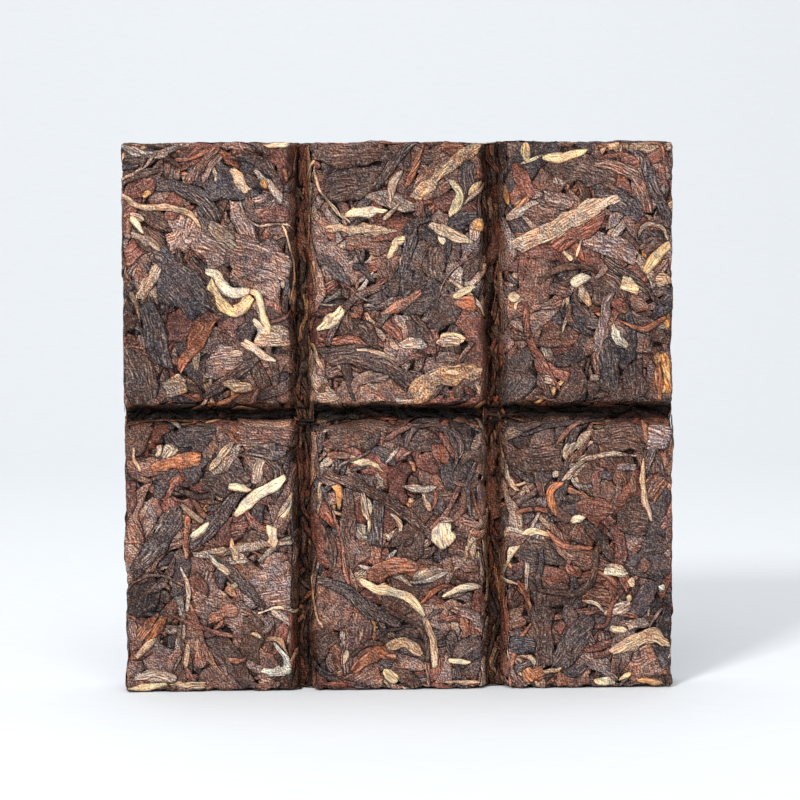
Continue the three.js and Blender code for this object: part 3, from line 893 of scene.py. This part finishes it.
class Wires:
    """Adds nodes to one shader tree, a few to a row, and hands on their results."""

    def __init__(self, tree):
        self.tree = tree

    def add(self, kind, **inputs):
        """A node with some inputs set or linked: i0 is its first input, and others go by name."""
        made = self.tree.nodes.new(kind)
        row, column = divmod(len(self.tree.nodes), 8)
        made.location = (220 * column - 1900, -260 * row)
        for label, value in inputs.items():
            by_number = label[1:].isdigit()
            self.feed(value, made.inputs[int(label[1:]) if by_number else label.replace("_", " ")])
        return made

    def feed(self, value, socket):
        """Links a result to a socket, or sets the socket to a plain value."""
        if isinstance(value, bpy.types.NodeSocket):
            self.tree.links.new(value, socket)
        else:
            socket.default_value = value

    def group(self, name, **inputs):
        """A shader node group placed in the tree, and its results by name."""
        made = self.tree.nodes.new("ShaderNodeGroup")
        made.node_tree = bpy.data.node_groups[name]
        made.location = (-2300, -300 * len(inputs))
        for label, value in inputs.items():
            self.feed(value, made.inputs[label.replace("_", " ")])
        return made.outputs

    def maths(self, operation, *terms):
        """One step of arithmetic."""
        made = self.add("ShaderNodeMath", **{f"i{k}": term for k, term in enumerate(terms)})
        made.operation = operation
        return made.outputs[0]

    def times(self, first, second):
        """One number times another."""
        return self.maths("MULTIPLY", first, second)

    def minus(self, first, second):
        """One number less another."""
        return self.maths("SUBTRACT", first, second)

    def scaled(self, value, low, high, to_low=0.0, to_high=1.0):
        """A value carried from one range to another and held there."""
        made = self.add("ShaderNodeMapRange", i0=value, i1=low, i2=high, i3=to_low, i4=to_high)
        made.clamp = True
        return made.outputs[0]

    def mixed(self, factor, first, second, blend="MIX"):
        """Two colours mixed."""
        made = self.add("ShaderNodeMix")
        made.data_type, made.blend_type = "RGBA", blend
        for index, value in ((0, factor), (6, first), (7, second)):
            self.feed(value, made.inputs[index])
        return made.outputs[2]

    def tinged(self, colour, by):
        """A colour multiplied by another colour or by a number."""
        return self.mixed(1.0, colour, by, "MULTIPLY")

    def noise(self, place, scale, detail, roughness=0.5):
        """Smooth noise over a place, from 0 to 1."""
        words = {"Scale": scale, "Detail": detail, "Roughness": roughness}
        return self.add("ShaderNodeTexNoise", Vector=place, **words).outputs[0]

    def mapped(self, place, move=(0, 0, 0), stretch=(1, 1, 1)):
        """A place moved and stretched."""
        return self.add("ShaderNodeMapping", i0=place, i1=move, i3=stretch).outputs[0]

    def bump(self, height, distance):
        """A normal that follows a height."""
        return self.add("ShaderNodeBump", Height=height, Distance=distance, Strength=1.0).outputs[0]


def open_group(name, **inputs):
    """A new shader node group: its wires, and its inputs, a number by its default or else a vector."""
    tree = bpy.data.node_groups.new(name, "ShaderNodeTree")
    for label, value in inputs.items():
        kind = "NodeSocketVector" if value is None else "NodeSocketFloat"
        socket = tree.interface.new_socket(name=label.replace("_", " "), in_out="INPUT", socket_type=kind)
        if value is not None:
            socket.default_value = value
    return Wires(tree), tree.nodes.new("NodeGroupInput").outputs


def close_group(w, **results):
    """Gives a group one output for each result, a colour or a number."""
    for label, value in results.items():
        kind = "NodeSocketColor" if value.type == "RGBA" else "NodeSocketFloat"
        w.tree.interface.new_socket(name=label, in_out="OUTPUT", socket_type=kind)
    end = w.add("NodeGroupOutput")
    for label, value in results.items():
        w.feed(value, end.inputs[label])


# The noises of the two groups. A line is its scale along the leaf, across it and by the leaf's
# seed, and its detail. The others are a scale for each millimetre, and a detail.
DRIFT_STRETCH = (0.10, 0.16, 1.0)
STREAK_LINE, RIB_LINE, HAIR_LINE = (0.12, 0.9, 3.7, 2.0), (0.16, 0.8, 1.9, 3.0), (0.55, 3.2, 1.3, 0.0)
HAIR_STEP = 0.6
SPECK_NOISE, TONE_NOISE, CLOUD_NOISE, GRIT_NOISE = (2.0, 2.0), (0.075, 1.0), (0.6, 3.0), (3.4, 0.0)
BLOOM_STEP, GRIT_STEP = (0.37, 0.11, 0.53), (0.10 * MM, 0.08 * MM, 0.11 * MM)
COOL, WARM = (0.71, 0.69, 0.76, 1), (1.37, 1.33, 1.18, 1)


def fibre_group():
    """Lines that run along a leaf: noise squeezed along it and bent a little.

    Streak is the broad light and dark, Rib thin lines where a noise crosses its middle, which a leaf sinks
    into its bump as creases and darkens with painted shade, and Hair the finest fibres, the slope of a noise
    across the leaf.
    """
    w, given = open_group("Leaf fibres", Grain=None, Pitch=1.0)
    along, across, seed = w.add("ShaderNodeSeparateXYZ", i0=given["Grain"]).outputs
    stirred = w.noise(w.mapped(given["Grain"], stretch=DRIFT_STRETCH), 1.0, 1.0)
    bent = w.times(w.maths("ADD", across, w.scaled(stirred, 0.25, 0.75, -1.0, 1.0)), given["Pitch"])

    def lines(by_along, by_across, by_seed, detail, aside=0.0):
        place = w.add(
            "ShaderNodeCombineXYZ",
            i0=w.times(along, by_along),
            i1=w.maths("MULTIPLY_ADD", bent, by_across, aside),
            i2=w.times(seed, by_seed),
        )
        return w.noise(place.outputs[0], 1.0, detail, roughness=0.65)

    off_middle = w.maths("ABSOLUTE", w.minus(lines(*RIB_LINE), 0.5))
    close_group(
        w,
        Streak=w.scaled(lines(*STREAK_LINE), 0.36, 0.64),
        Rib=w.scaled(off_middle, 0.0, 0.035, 1.0, 0.0),
        Hair=w.scaled(w.minus(lines(*HAIR_LINE), lines(*HAIR_LINE, HAIR_STEP)), -0.25, 0.25),
    )


def mottle_group():
    """Patches and specks that don't follow a leaf: age stains and dust, by place on the brick.

    Grit is the slope of a fine noise. Tone and Cloud are slow changes of lightness and of colour.
    """
    w, given = open_group("Tea mottle", Patch_size=2.6)
    place = w.add("ShaderNodeTexCoord").outputs["Object"]
    by_patch = w.maths("DIVIDE", 1 / MM, given["Patch size"])
    patch, bloom = w.noise(place, by_patch, 3.0), w.noise(w.mapped(place, BLOOM_STEP), by_patch, 4.0)
    noises = SPECK_NOISE, TONE_NOISE, CLOUD_NOISE
    speck, tone, cloud = (w.noise(place, scale / MM, detail) for scale, detail in noises)
    scale, detail = GRIT_NOISE
    grits = (w.noise(spot, scale / MM, detail) for spot in (place, w.mapped(place, GRIT_STEP)))
    close_group(
        w,
        Patch=w.scaled(patch, 0.43, 0.59),
        Bloom=w.scaled(bloom, 0.44, 0.60),
        Speck=w.scaled(speck, 0.58, 0.70),
        Grit=w.scaled(w.minus(*grits), -0.25, 0.25),
        Tone=w.scaled(tone, 0.35, 0.65, 0.68, 1.42),
        Cloud=w.mixed(w.scaled(cloud, 0.34, 0.66), COOL, WARM),
    )


def new_material(name, specular):
    """A material with a dull Principled shader, its wires and that shader."""
    material = bpy.data.materials.new(name)
    material.use_nodes = True
    shader = material.node_tree.nodes["Principled BSDF"]
    shader.inputs["Specular IOR Level"].default_value = specular
    return material, Wires(material.node_tree), shader


# How each finish differs: fibre pitch, how dark and light the streaks and the grain go, how much of
# the stains and the bloom shows, the range of roughness, and the bump's height in millimetres.
Finish = namedtuple("Finish", "title pitch streaks grain stain bloom smooth rough bump")
FINISHES = {
    "brown_leaves": Finish("Brown tea leaf", 1.0, 0.13, 0.86, 0.80, 0.75, 0.48, 0.75, 0.10),
    "dark_leaves": Finish("Dark tea leaf", 1.0, 0.13, 0.80, 0.75, 0.40, 0.42, 0.66, 0.10),
    "russet_leaves": Finish("Russet tea leaf", 1.0, 0.13, 0.76, 0.50, 0.75, 0.50, 0.76, 0.10),
    "rolled_leaves": Finish("Rolled tea leaf", 1.1, 0.18, 0.86, 0.70, 0.50, 0.40, 0.66, 0.13),
    "stalks": Finish("Tea stalk", 1.2, 0.22, 0.62, 0.45, 0.15, 0.45, 0.70, 0.06),
    "buds": Finish("Downy tea bud", 1.1, 0.24, 0.70, 0.60, 0.30, 0.62, 0.85, 0.10),
    "torn_bits": Finish("Torn tea leaf", 1.0, 0.15, 0.70, 0.55, 0.45, 0.50, 0.78, 0.10),
}

# Colours that a leaf's own colour is multiplied by, or mixed with.
STAIN, BLOOM = (1.30, 0.92, 0.68, 1), (0.63, 0.64, 0.76, 1)
# The first of these is the painted shade in the grooves, and the last the painted shade in the crevices and
# at leaf edges.
PAINTED_GROOVE_SHADE, IN_SHADE, PAINTED_CREVICE_SHADE = (0.56, 0.40, 0.27, 1), (1.06, 0.66, 0.50, 1), (0.24, 0.12, 0.07, 1)
# The paler colour that the grain's excess over white goes to, dry fibre's colour with a painted glint, and
# its share.
WHITE, DRY_FIBRE_AND_GLINT, DRY_AND_GLINT_SHARE = (1, 1, 1, 1), (1.17, 1.05, 0.95, 1), 0.7
DUST, DUST_SHARE = (*linear(206, 186, 172), 1), 0.30
BRIGHTEST = 0.86

# Ranges that a value is carried over, as from, to, and what those two become. Distances from a
# leaf's edge, and depths in a crevice and in a groove, are in millimetres.
GRAIN_BY_TINT = (0.05, 0.60, 1.35, 0.92)
GRAIN_BY_BLOOM = (0.0, 1.0, 1.15, 0.60)
GRAIN_BY_FIBRE = (0.0, 1.0, 0.68, 1.22)
LINES_BY_BLOOM = (0.1, 0.8, 0.68, 0.0)
GRAIN_SWING = (0.0, 1.0, -1.75, 1.75)
# A painted highlight along a leaf's edge, up to half as bright again where the patch noise is high, over
# 0.15 to 0.40 mm from the edge.
EDGE_HIGHLIGHT_GAIN, EDGE_HIGHLIGHT_BAND = (0.0, 1.0, 1.0, 1.5), (0.15, 0.40)
WARM_BY_GRAIN = (0.15, 1.0, 1.0, 0.0)
# Painted shade along the creases that the rib lines sink into the bump.
CREASE_SHADE = (0.25, 0.80, 1.0, 0.62)
# Painted crevice shade, deepening with the depth under the mould's face.
CREVICE_SHADE_BY_DEPTH = (0.18, 0.85, 1.0, 0.10)
# Painted shade along a leaf's outer tenth of a millimetre, its width shifted by the bloom noise.
RIM_SHADE_WOBBLE, RIM_SHADE_BY_EDGE = (0.0, 1.0, -0.16, 0.16), (0.0, 0.10, 0.45, 1.0)
# Painted shade in the grooves: browner with depth times gloom, and near black past 2.8 of it, as on the
# level groove's overhung wall and floor.
GROOVE_SHADE_BY_DEPTH, GROOVE_SHADOW_BY_DEPTH = (0.25, 2.6), (2.8, 6.0, 1.0, 0.12)
STREAK_RISE, RIB_DROP = 1.2, 0.9


def leaf_material(kind):
    """A leaf's finish: its own tint, streaked by fibres, stained in patches, with painted shade in crevices,
    at leaf edges, along creases and in the grooves, and a painted highlight along some edges.

    The grain is 2 to the power of a noise, so that it lightens as much as it darkens. Where that would pass
    white, the excess is added instead as a dry, paler colour with a painted glint.
    """
    finish = FINISHES[kind]
    material, w, shader = new_material(finish.title, 0.22)
    labels = ("tint", "grain", "form")
    attribute = {label: w.add("ShaderNodeAttribute") for label in labels}
    for label in labels:
        attribute[label].attribute_name = label
    tint, sunk = (attribute["tint"].outputs[label] for label in ("Color", "Alpha"))
    edge, fibrous, depth = w.add("ShaderNodeSeparateXYZ", i0=attribute["form"].outputs["Vector"]).outputs
    fibres = w.group("Leaf fibres", Grain=attribute["grain"].outputs["Vector"], Pitch=finish.pitch)
    streak, rib, hair = (fibres[label] for label in ("Streak", "Rib", "Hair"))
    mottle = w.group("Tea mottle")
    patch, bloom, grit = (mottle[label] for label in ("Patch", "Bloom", "Grit"))

    stained = w.mixed(w.times(patch, finish.stain), tint, w.tinged(tint, STAIN))
    bloomed = w.mixed(w.times(bloom, finish.bloom), stained, w.tinged(stained, BLOOM))
    motley = w.tinged(bloomed, mottle["Cloud"])

    red, green, _ = w.add("ShaderNodeSeparateColor", i0=tint).outputs
    lined = w.times(w.minus(hair, grit), w.times(fibrous, w.scaled(bloom, *LINES_BY_BLOOM)))
    grain = w.maths("ADD", grit, lined)
    matted = w.times(w.scaled(bloom, *GRAIN_BY_BLOOM), w.scaled(fibrous, *GRAIN_BY_FIBRE))
    weight = w.times(w.times(w.scaled(red, *GRAIN_BY_TINT), finish.grain), matted)
    fine = w.maths("POWER", 2.0, w.times(w.scaled(grain, *GRAIN_SWING), weight))
    broad = w.scaled(streak, 0.0, 1.0, 1 - finish.streaks, 1 + 1.1 * finish.streaks)
    toned = w.times(w.times(broad, fine), mottle["Tone"])
    # Painted highlight along some leaves' edges, as on lit folded rims.
    toned = w.times(toned, w.scaled(edge, *EDGE_HIGHLIGHT_BAND, w.scaled(patch, *EDGE_HIGHLIGHT_GAIN), 1.0))
    factor = w.maths("MINIMUM", toned, w.maths("DIVIDE", BRIGHTEST, red))
    shady = w.tinged(motley, w.mixed(w.scaled(fine, *WARM_BY_GRAIN), WHITE, IN_SHADE))
    grained = w.tinged(shady, w.maths("MINIMUM", factor, 1.0))
    # The grain's excess over white is added as dry fibre's colour with a painted glint.
    excess = w.maths("MAXIMUM", w.minus(factor, 1.0), 0.0)
    dry = w.mixed(DRY_AND_GLINT_SHARE, shady, w.tinged(DRY_FIBRE_AND_GLINT, green))
    bright = w.mixed(1.0, grained, w.tinged(dry, excess), "ADD")

    # Painted shade along the rib creases, which the bump also sinks.
    crease_shaded = w.tinged(bright, w.scaled(w.times(rib, fibrous), *CREASE_SHADE))
    dusty = w.mixed(w.times(mottle["Speck"], DUST_SHARE), crease_shaded, DUST)
    # Painted shade in the crevices: darker with depth under the mould's face and right at a leaf's edge.
    rim = w.scaled(w.minus(edge, w.scaled(bloom, *RIM_SHADE_WOBBLE)), *RIM_SHADE_BY_EDGE)
    unshaded_share = w.times(w.scaled(depth, *CREVICE_SHADE_BY_DEPTH), rim)
    crevice_shaded = w.mixed(unshaded_share, w.tinged(dusty, PAINTED_CREVICE_SHADE), dusty)
    # Painted shade in the grooves: browner with depth, and near black where the level groove's upper wall
    # and floor would lie in shadow.
    groove_shaded = w.mixed(w.scaled(sunk, *GROOVE_SHADE_BY_DEPTH), crevice_shaded, w.tinged(crevice_shaded, PAINTED_GROOVE_SHADE))
    w.feed(w.tinged(groove_shaded, w.scaled(sunk, *GROOVE_SHADOW_BY_DEPTH)), shader.inputs["Base Color"])
    w.feed(w.scaled(hair, 0.1, 0.9, finish.smooth, finish.rough), shader.inputs["Roughness"])
    raised = w.minus(w.maths("ADD", w.times(streak, STREAK_RISE), grain), w.times(rib, RIB_DROP))
    w.feed(w.bump(raised, finish.bump * MM), shader.inputs["Normal"])
    return material


def core_material():
    """Packed leaf seen at the bottom of the crevices: dark brown, with grit and patches."""
    material, w, shader = new_material("Packed tea", 0.2)
    colours = bpy.context.scene.tea_colours
    mottle = w.group("Tea mottle", Patch_size=1.2)
    core, umber = ((*colour[:], 1) for colour in (colours.core, colours.umber))
    gritty, dull = (w.scaled(mottle["Grit"], 0.3, 0.7, *ends) for ends in ((0.5, 1.1), (0.75, 0.95)))
    w.feed(w.tinged(w.mixed(mottle["Patch"], core, umber), gritty), shader.inputs["Base Color"])
    w.feed(dull, shader.inputs["Roughness"])
    w.feed(w.bump(mottle["Grit"], 0.3 * MM), shader.inputs["Normal"])
    return material


def leaf_materials():
    """The materials of all kinds, made once."""
    if "Leaf fibres" not in bpy.data.node_groups:
        fibre_group()
        mottle_group()
    return {k: bpy.data.materials.get(f.title) or leaf_material(k) for k, f in FINISHES.items()}


FRONT_AXES = ((1, 0, 0), (0, 0, 1), (0, -1, 0))
BACK_AXES = ((-1, 0, 0), (0, 0, 1), (0, 1, 0))
LEVEL_AXES = ((0, 0, 1), (-1, 0, 0), (0, -1, 0))


def off_upright(x):
    """How far a place is from the nearest upright groove's middle."""
    return np.min([np.abs(x - at) for at in UPRIGHT_GROOVES_AT], axis=0)


def pad_charts():
    """The six pads of the front, column by column from the lower left."""
    sizes = slab_sizes()
    upright, level = sizes.upright_groove / 2, sizes.level_groove / 2
    left, right = UPRIGHT_GROOVES_AT
    columns = ((-WIDTH / 2, left - upright), (left + upright, right - upright), (right + upright, WIDTH / 2))
    rows = ((0, LEVEL_GROOVE_AT - level), (LEVEL_GROOVE_AT + level, HEIGHT))
    groove = sizes.groove_radius, GROOVE_WALL_TURN, WALL_COVERED
    outer = Edge(sizes.edge_radius, OUTER_TURN, COVERED_PAST_EDGE, 0.0)
    inner, overhung, ledge = (Edge(*groove, gloom) for gloom in (UPRIGHT_GLOOM, OVERHUNG_GLOOM, LEDGE_GLOOM))
    charts = []
    for i, (a0, a1) in enumerate(columns):
        for j, (b0, b1) in enumerate(rows):
            edges = (
                outer if i == 0 else inner,
                outer if i == 2 else inner,
                outer if j == 0 else overhung,
                outer if j == 1 else ledge,
            )
            charts.append(FlatChart((a0, b0), (a1, b1), FRONT_AXES, (0, FRONT_Y, 0), edges))
    return charts


class TEA_OT_front(bpy.types.Operator):
    """Lay the leaves of the six pads of the front"""

    bl_idname = "tea.front"
    bl_label = "Front leaves"

    def execute(self, context):
        bed = Bed("front", 11, FRONT_STEP)
        for chart in pad_charts():
            chart.room += bed.unevenness(chart, 0.10, 9, 30)
            low, high = chart.flat_low, chart.flat_high
            for leaf in SHOWN:
                spot = leaf.path.mean(axis=0)
                if np.all(spot > low - NEARBY) and np.all(spot < high + NEARBY):
                    bed.put(chart, leaf, vary=0.05)
            bed.strew(chart, SHARD_MIX, 30)
            bed.strew(chart, STRAND_MIX, 11)
            bed.fill(chart, FRONT_MIX, along_edges(low, high), 0.5)
        bed.build()
        return {"FINISHED"}


class TEA_OT_grooves(bpy.types.Operator):
    """Lay the leaves that line the three grooves"""

    bl_idname = "tea.grooves"
    bl_label = "Groove leaves"

    def execute(self, context):
        sizes = slab_sizes()
        upright = sizes.upright_groove, sizes.groove_depth, 0, HEIGHT, FRONT_AXES
        level = sizes.level_groove, sizes.groove_depth, -WIDTH / 2, WIDTH / 2, LEVEL_AXES
        radius, middle = sizes.edge_radius, (0, FRONT_Y, LEVEL_GROOVE_AT)
        spots = [(at, FRONT_Y, 0) for at in UPRIGHT_GROOVES_AT]
        charts = [GrooveChart(*upright, spot, radius, UPRIGHT_GLOOM) for spot in spots]
        charts.append(GrooveChart(*level, middle, radius, OVERHUNG_GLOOM))
        bed = Bed("groove", 12, FRONT_STEP)
        for chart in charts:
            bed.fill(chart, GROOVE_MIX, lengthwise(math.pi / 2), 0.3)
        bed.build()
        return {"FINISHED"}


class TEA_OT_back(bpy.types.Operator):
    """Lay the leaves of the plain back"""

    bl_idname = "tea.back"
    bl_label = "Back leaves"

    def execute(self, context):
        low, high = (-WIDTH / 2, 0.0), (WIDTH / 2, HEIGHT)
        edge = Edge(slab_sizes().edge_radius, OUTER_TURN, COVERED_PAST_EDGE, 0.0)
        chart = FlatChart(low, high, BACK_AXES, (0, BACK_Y, 0), (edge,) * 4)
        bed = Bed("back", 13, PLAIN_STEP)
        chart.room += bed.unevenness(chart, 0.12, 10, 40)
        bed.strew(chart, SHARD_MIX, 160)
        bed.strew(chart, STRAND_MIX, 90)
        bed.fill(chart, FRONT_MIX, along_edges(low, high), 0.5)
        bed.build()
        return {"FINISHED"}


class TEA_OT_rim(bpy.types.Operator):
    """Lay the leaves of the four narrow sides, edge on like layers"""

    bl_idname = "tea.rim"
    bl_label = "Side leaves"

    def execute(self, context):
        sizes = slab_sizes()
        chart = RimChart(sizes.corner_radius, sizes.edge_radius)
        x, z, _, _ = chart.on_outline(chart.a)
        into_upright = sizes.upright_groove / 2 - off_upright(x)
        into_level = sizes.level_groove / 2 - np.abs(z - LEVEL_GROOVE_AT)
        into = np.where((z < 1) | (z > HEIGHT - 1), into_upright, into_level)
        cut = np.minimum(into * math.tan(GROOVE_WALL_TURN), sizes.groove_depth)
        chart.shut = (into > 0) & (chart.b > THICKNESS / 2 - cut)
        chart.bare &= ~chart.shut
        bed = Bed("rim", 14, PLAIN_STEP)
        chart.room += bed.unevenness(chart, 0.14, 7, 30) + 0.3 * np.clip(z / FOOT_HEIGHT, 0, 1)
        bed.fill(chart, RIM_MIX, lengthwise(), 0.6)
        bed.build()
        return {"FINISHED"}


def grid_lines(low, high, breaks, step=1.0):
    """Coordinates from low to high that include the breaks, no further apart than a step."""
    stops = np.array([low, *sorted(breaks), high])
    counts = [max(2, int((q - p) / step) + 1) for p, q in zip(stops, stops[1:])]
    runs = [np.linspace(p, q, n, endpoint=False) for p, q, n in zip(stops, stops[1:], counts)]
    return np.append(np.concatenate(runs), high)


# The core's grooves are this many insets wider at the lip than the leaves', and this many insets to
# each side wide at the floor. Its faces rise and fall by this many millimetres.
CORE_LIP, CORE_FOOT, CORE_ROUGH = 0.9, 1.4, 0.25


class TEA_OT_core(bpy.types.Operator):
    """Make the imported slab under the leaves, with its grooves"""

    bl_idname = "tea.core"
    bl_label = "Packed core"

    def execute(self, context):
        sizes = slab_sizes()
        inset, depth = sizes.core_inset, sizes.groove_depth
        half = THICKNESS / 2 - inset
        lip, foot = sizes.upright_groove / 2 + CORE_LIP * inset, CORE_FOOT * inset
        x_breaks = [at + s * w for at in UPRIGHT_GROOVES_AT for s in (-1, 1) for w in (lip, foot)]
        z_breaks = [LEVEL_GROOVE_AT + s * w for s in (-1, 1) for w in (lip, foot)]
        x = grid_lines(-WIDTH / 2 + inset, WIDTH / 2 - inset, x_breaks)
        z = grid_lines(inset, HEIGHT - inset, z_breaks)
        xs, zs = np.meshgrid(x, z, indexing="ij")
        nearest = np.minimum(off_upright(xs), np.abs(zs - LEVEL_GROOVE_AT))
        sunk = depth * np.clip((lip - nearest) / (lip - foot), 0, 1)
        rough = CORE_ROUGH * waves(np.random.default_rng(15), 1.5, 6, 10)(xs, zs)
        rough[(xs == x[0]) | (xs == x[-1]) | (zs == z[0]) | (zs == z[-1])] = 0
        front = np.stack([xs, -half + sunk + rough, zs], -1).reshape(-1, 3)
        back = np.stack([xs, half + rough, zs], -1).reshape(-1, 3)
        count = len(front)
        index = np.arange(count).reshape(len(x), len(z))
        p, q, r, s = index[:-1, :-1], index[1:, :-1], index[1:, 1:], index[:-1, 1:]
        face = np.stack([p, q, r, p, r, s], -1).reshape(-1, 3)
        ring = np.concatenate([index[:-1, 0], index[-1, :-1], index[:0:-1, -1], index[0, :0:-1]])
        after = np.roll(ring, -1)
        wall = np.stack([ring, ring + count, after + count, ring, after + count, after], -1).reshape(-1, 3)
        points = np.concatenate([front, back])
        faces = np.concatenate([face, face[:, ::-1] + count, wall])
        blank, heap = np.zeros_like(points), Heap()
        heap.add(points, faces, (0, 0, 0), blank, blank, np.zeros(len(points)))
        leaf_materials()
        heap.build("packed_core", core_material())
        return {"FINISHED"}


# The lamps, in metres: place, size and aim. The backdrop's lamp aims behind the brick.
LAMPS = {
    "key": ((-0.48, -0.92, 0.66), 0.20, (0, 0, 0.05)),
    "overhead": ((0.0, -0.75, 1.05), 0.8, (0, 0, 0.05)),
    "backdrop": ((0.0, 0.35, 1.3), 1.0, (0, 1.4, 0.3)),
}
SKY_COLOUR, PAPER_COLOUR = (0.94, 0.97, 1.0, 1), (0.86, 0.885, 0.91, 1)
SWEEP_RADIUS, SWEEP_START, SWEEP_REACH, SWEEP_TOP = 0.9, 0.5, 2.5, 2.6
# The point that the camera aims at, in millimetres.
CAMERA_AIM = (0.33, 0, 53.4)


class TEA_OT_studio(bpy.types.Operator):
    """Make the pale floor and backdrop, the soft lights and the camera"""

    bl_idname = "tea.studio"
    bl_label = "Studio"

    def execute(self, context):
        self.sweep()
        self.lights(context.scene)
        self.camera(context.scene)
        return {"FINISHED"}

    def sweep(self):
        """A flat floor, a quarter circle and an upright wall, as one profile drawn out sideways."""
        turn = np.linspace(0, math.pi / 2, 25)
        back = SWEEP_START + SWEEP_RADIUS
        y = np.concatenate([[-SWEEP_REACH], SWEEP_START + SWEEP_RADIUS * np.sin(turn), [back]])
        z = np.concatenate([[0.0], SWEEP_RADIUS * (1 - np.cos(turn)), [SWEEP_TOP]])
        x = np.array([-SWEEP_REACH, SWEEP_REACH])
        points = np.stack([np.repeat(x, len(y)), np.tile(y, 2), np.tile(z, 2)], -1)
        i = np.arange(len(y) - 1)
        faces = np.stack([i, i + len(y), i + len(y) + 1, i + 1], -1)
        mesh = bpy.data.meshes.new("studio_sweep")
        mesh.from_pydata(points.tolist(), [], faces.tolist())
        mesh.polygons.foreach_set("use_smooth", np.ones(len(faces), bool))
        material, w, shader = new_material("Pale paper", 0.15)
        grain = w.add("ShaderNodeTexNoise", Scale=900.0, Detail=2.0).outputs[0]
        w.feed(w.tinged(PAPER_COLOUR, w.scaled(grain, 0.3, 0.7, 0.985, 1.0)), shader.inputs["Base Color"])
        shader.inputs["Roughness"].default_value = 0.85
        mesh.materials.append(material)
        placed("studio_sweep", mesh)

    def lights(self, scene):
        world = bpy.data.worlds.new("Soft room")
        world.use_nodes = True
        background = world.node_tree.nodes["Background"]
        background.inputs["Color"].default_value = SKY_COLOUR
        background.inputs["Strength"].default_value = scene.tea_studio.sky
        scene.world = world
        scene.view_settings.view_transform = "Standard"
        for name, (place, size, aim) in LAMPS.items():
            lamp = bpy.data.lights.new(name, "AREA")
            lamp.size, lamp.energy = size, getattr(scene.tea_studio, f"{name}_power")
            light = placed(name, lamp)
            light.location = place
            light.rotation_euler = (Vector(aim) - Vector(place)).to_track_quat("-Z", "Y").to_euler()

    def camera(self, scene):
        settings = scene.tea_studio
        yaw, pitch, roll = settings.yaw, settings.pitch, settings.roll
        back = Vector((math.sin(yaw) * math.cos(pitch), -math.cos(yaw) * math.cos(pitch), math.sin(pitch)))
        right = Vector((0, 0, 1)).cross(back).normalized()
        up = back.cross(right)
        leaning_right = right * math.cos(roll) + up * math.sin(roll)
        leaning_up = up * math.cos(roll) - right * math.sin(roll)
        aim = Vector(CAMERA_AIM) * MM
        lens = bpy.data.cameras.new("camera")
        lens.lens, lens.sensor_width = settings.lens, 36
        lens.clip_start, lens.clip_end = 0.01, 20
        turned = Matrix((leaning_right, leaning_up, back)).transposed().to_4x4()
        scene.camera = placed("camera", lens)
        scene.camera.matrix_world = Matrix.Translation(aim + back * settings.distance) @ turned


class TEA_PT_brick(bpy.types.Panel):
    """The sizes, the colours and the steps that build the brick"""

    bl_label = "Tea Brick"
    bl_idname = "TEA_PT_brick"
    bl_space_type = "VIEW_3D"
    bl_region_type = "UI"
    bl_category = "Tea Brick"

    def draw(self, context):
        for settings in (context.scene.tea_sizes, context.scene.tea_colours, context.scene.tea_studio):
            box = self.layout.box()
            for label in settings.__annotations__:
                box.prop(settings, label)
        for step in STEPS:
            self.layout.operator(step.bl_idname)


STEPS = (TEA_OT_core, TEA_OT_front, TEA_OT_grooves, TEA_OT_back, TEA_OT_rim, TEA_OT_studio)
CLASSES = (TeaColours, SlabSizes, StudioSettings, *STEPS, TEA_PT_brick)


def register():
    for each in CLASSES:
        bpy.utils.register_class(each)
    bpy.types.Scene.tea_colours = bpy.props.PointerProperty(type=TeaColours)
    bpy.types.Scene.tea_sizes = bpy.props.PointerProperty(type=SlabSizes)
    bpy.types.Scene.tea_studio = bpy.props.PointerProperty(type=StudioSettings)


def unregister():
    del bpy.types.Scene.tea_colours
    del bpy.types.Scene.tea_sizes
    del bpy.types.Scene.tea_studio
    for each in reversed(CLASSES):
        bpy.utils.unregister_class(each)


def main():
    register()
    for step in STEPS:
        area, name = step.bl_idname.split(".")
        getattr(getattr(bpy.ops, area), name)()


if __name__ == "__main__":
    main()
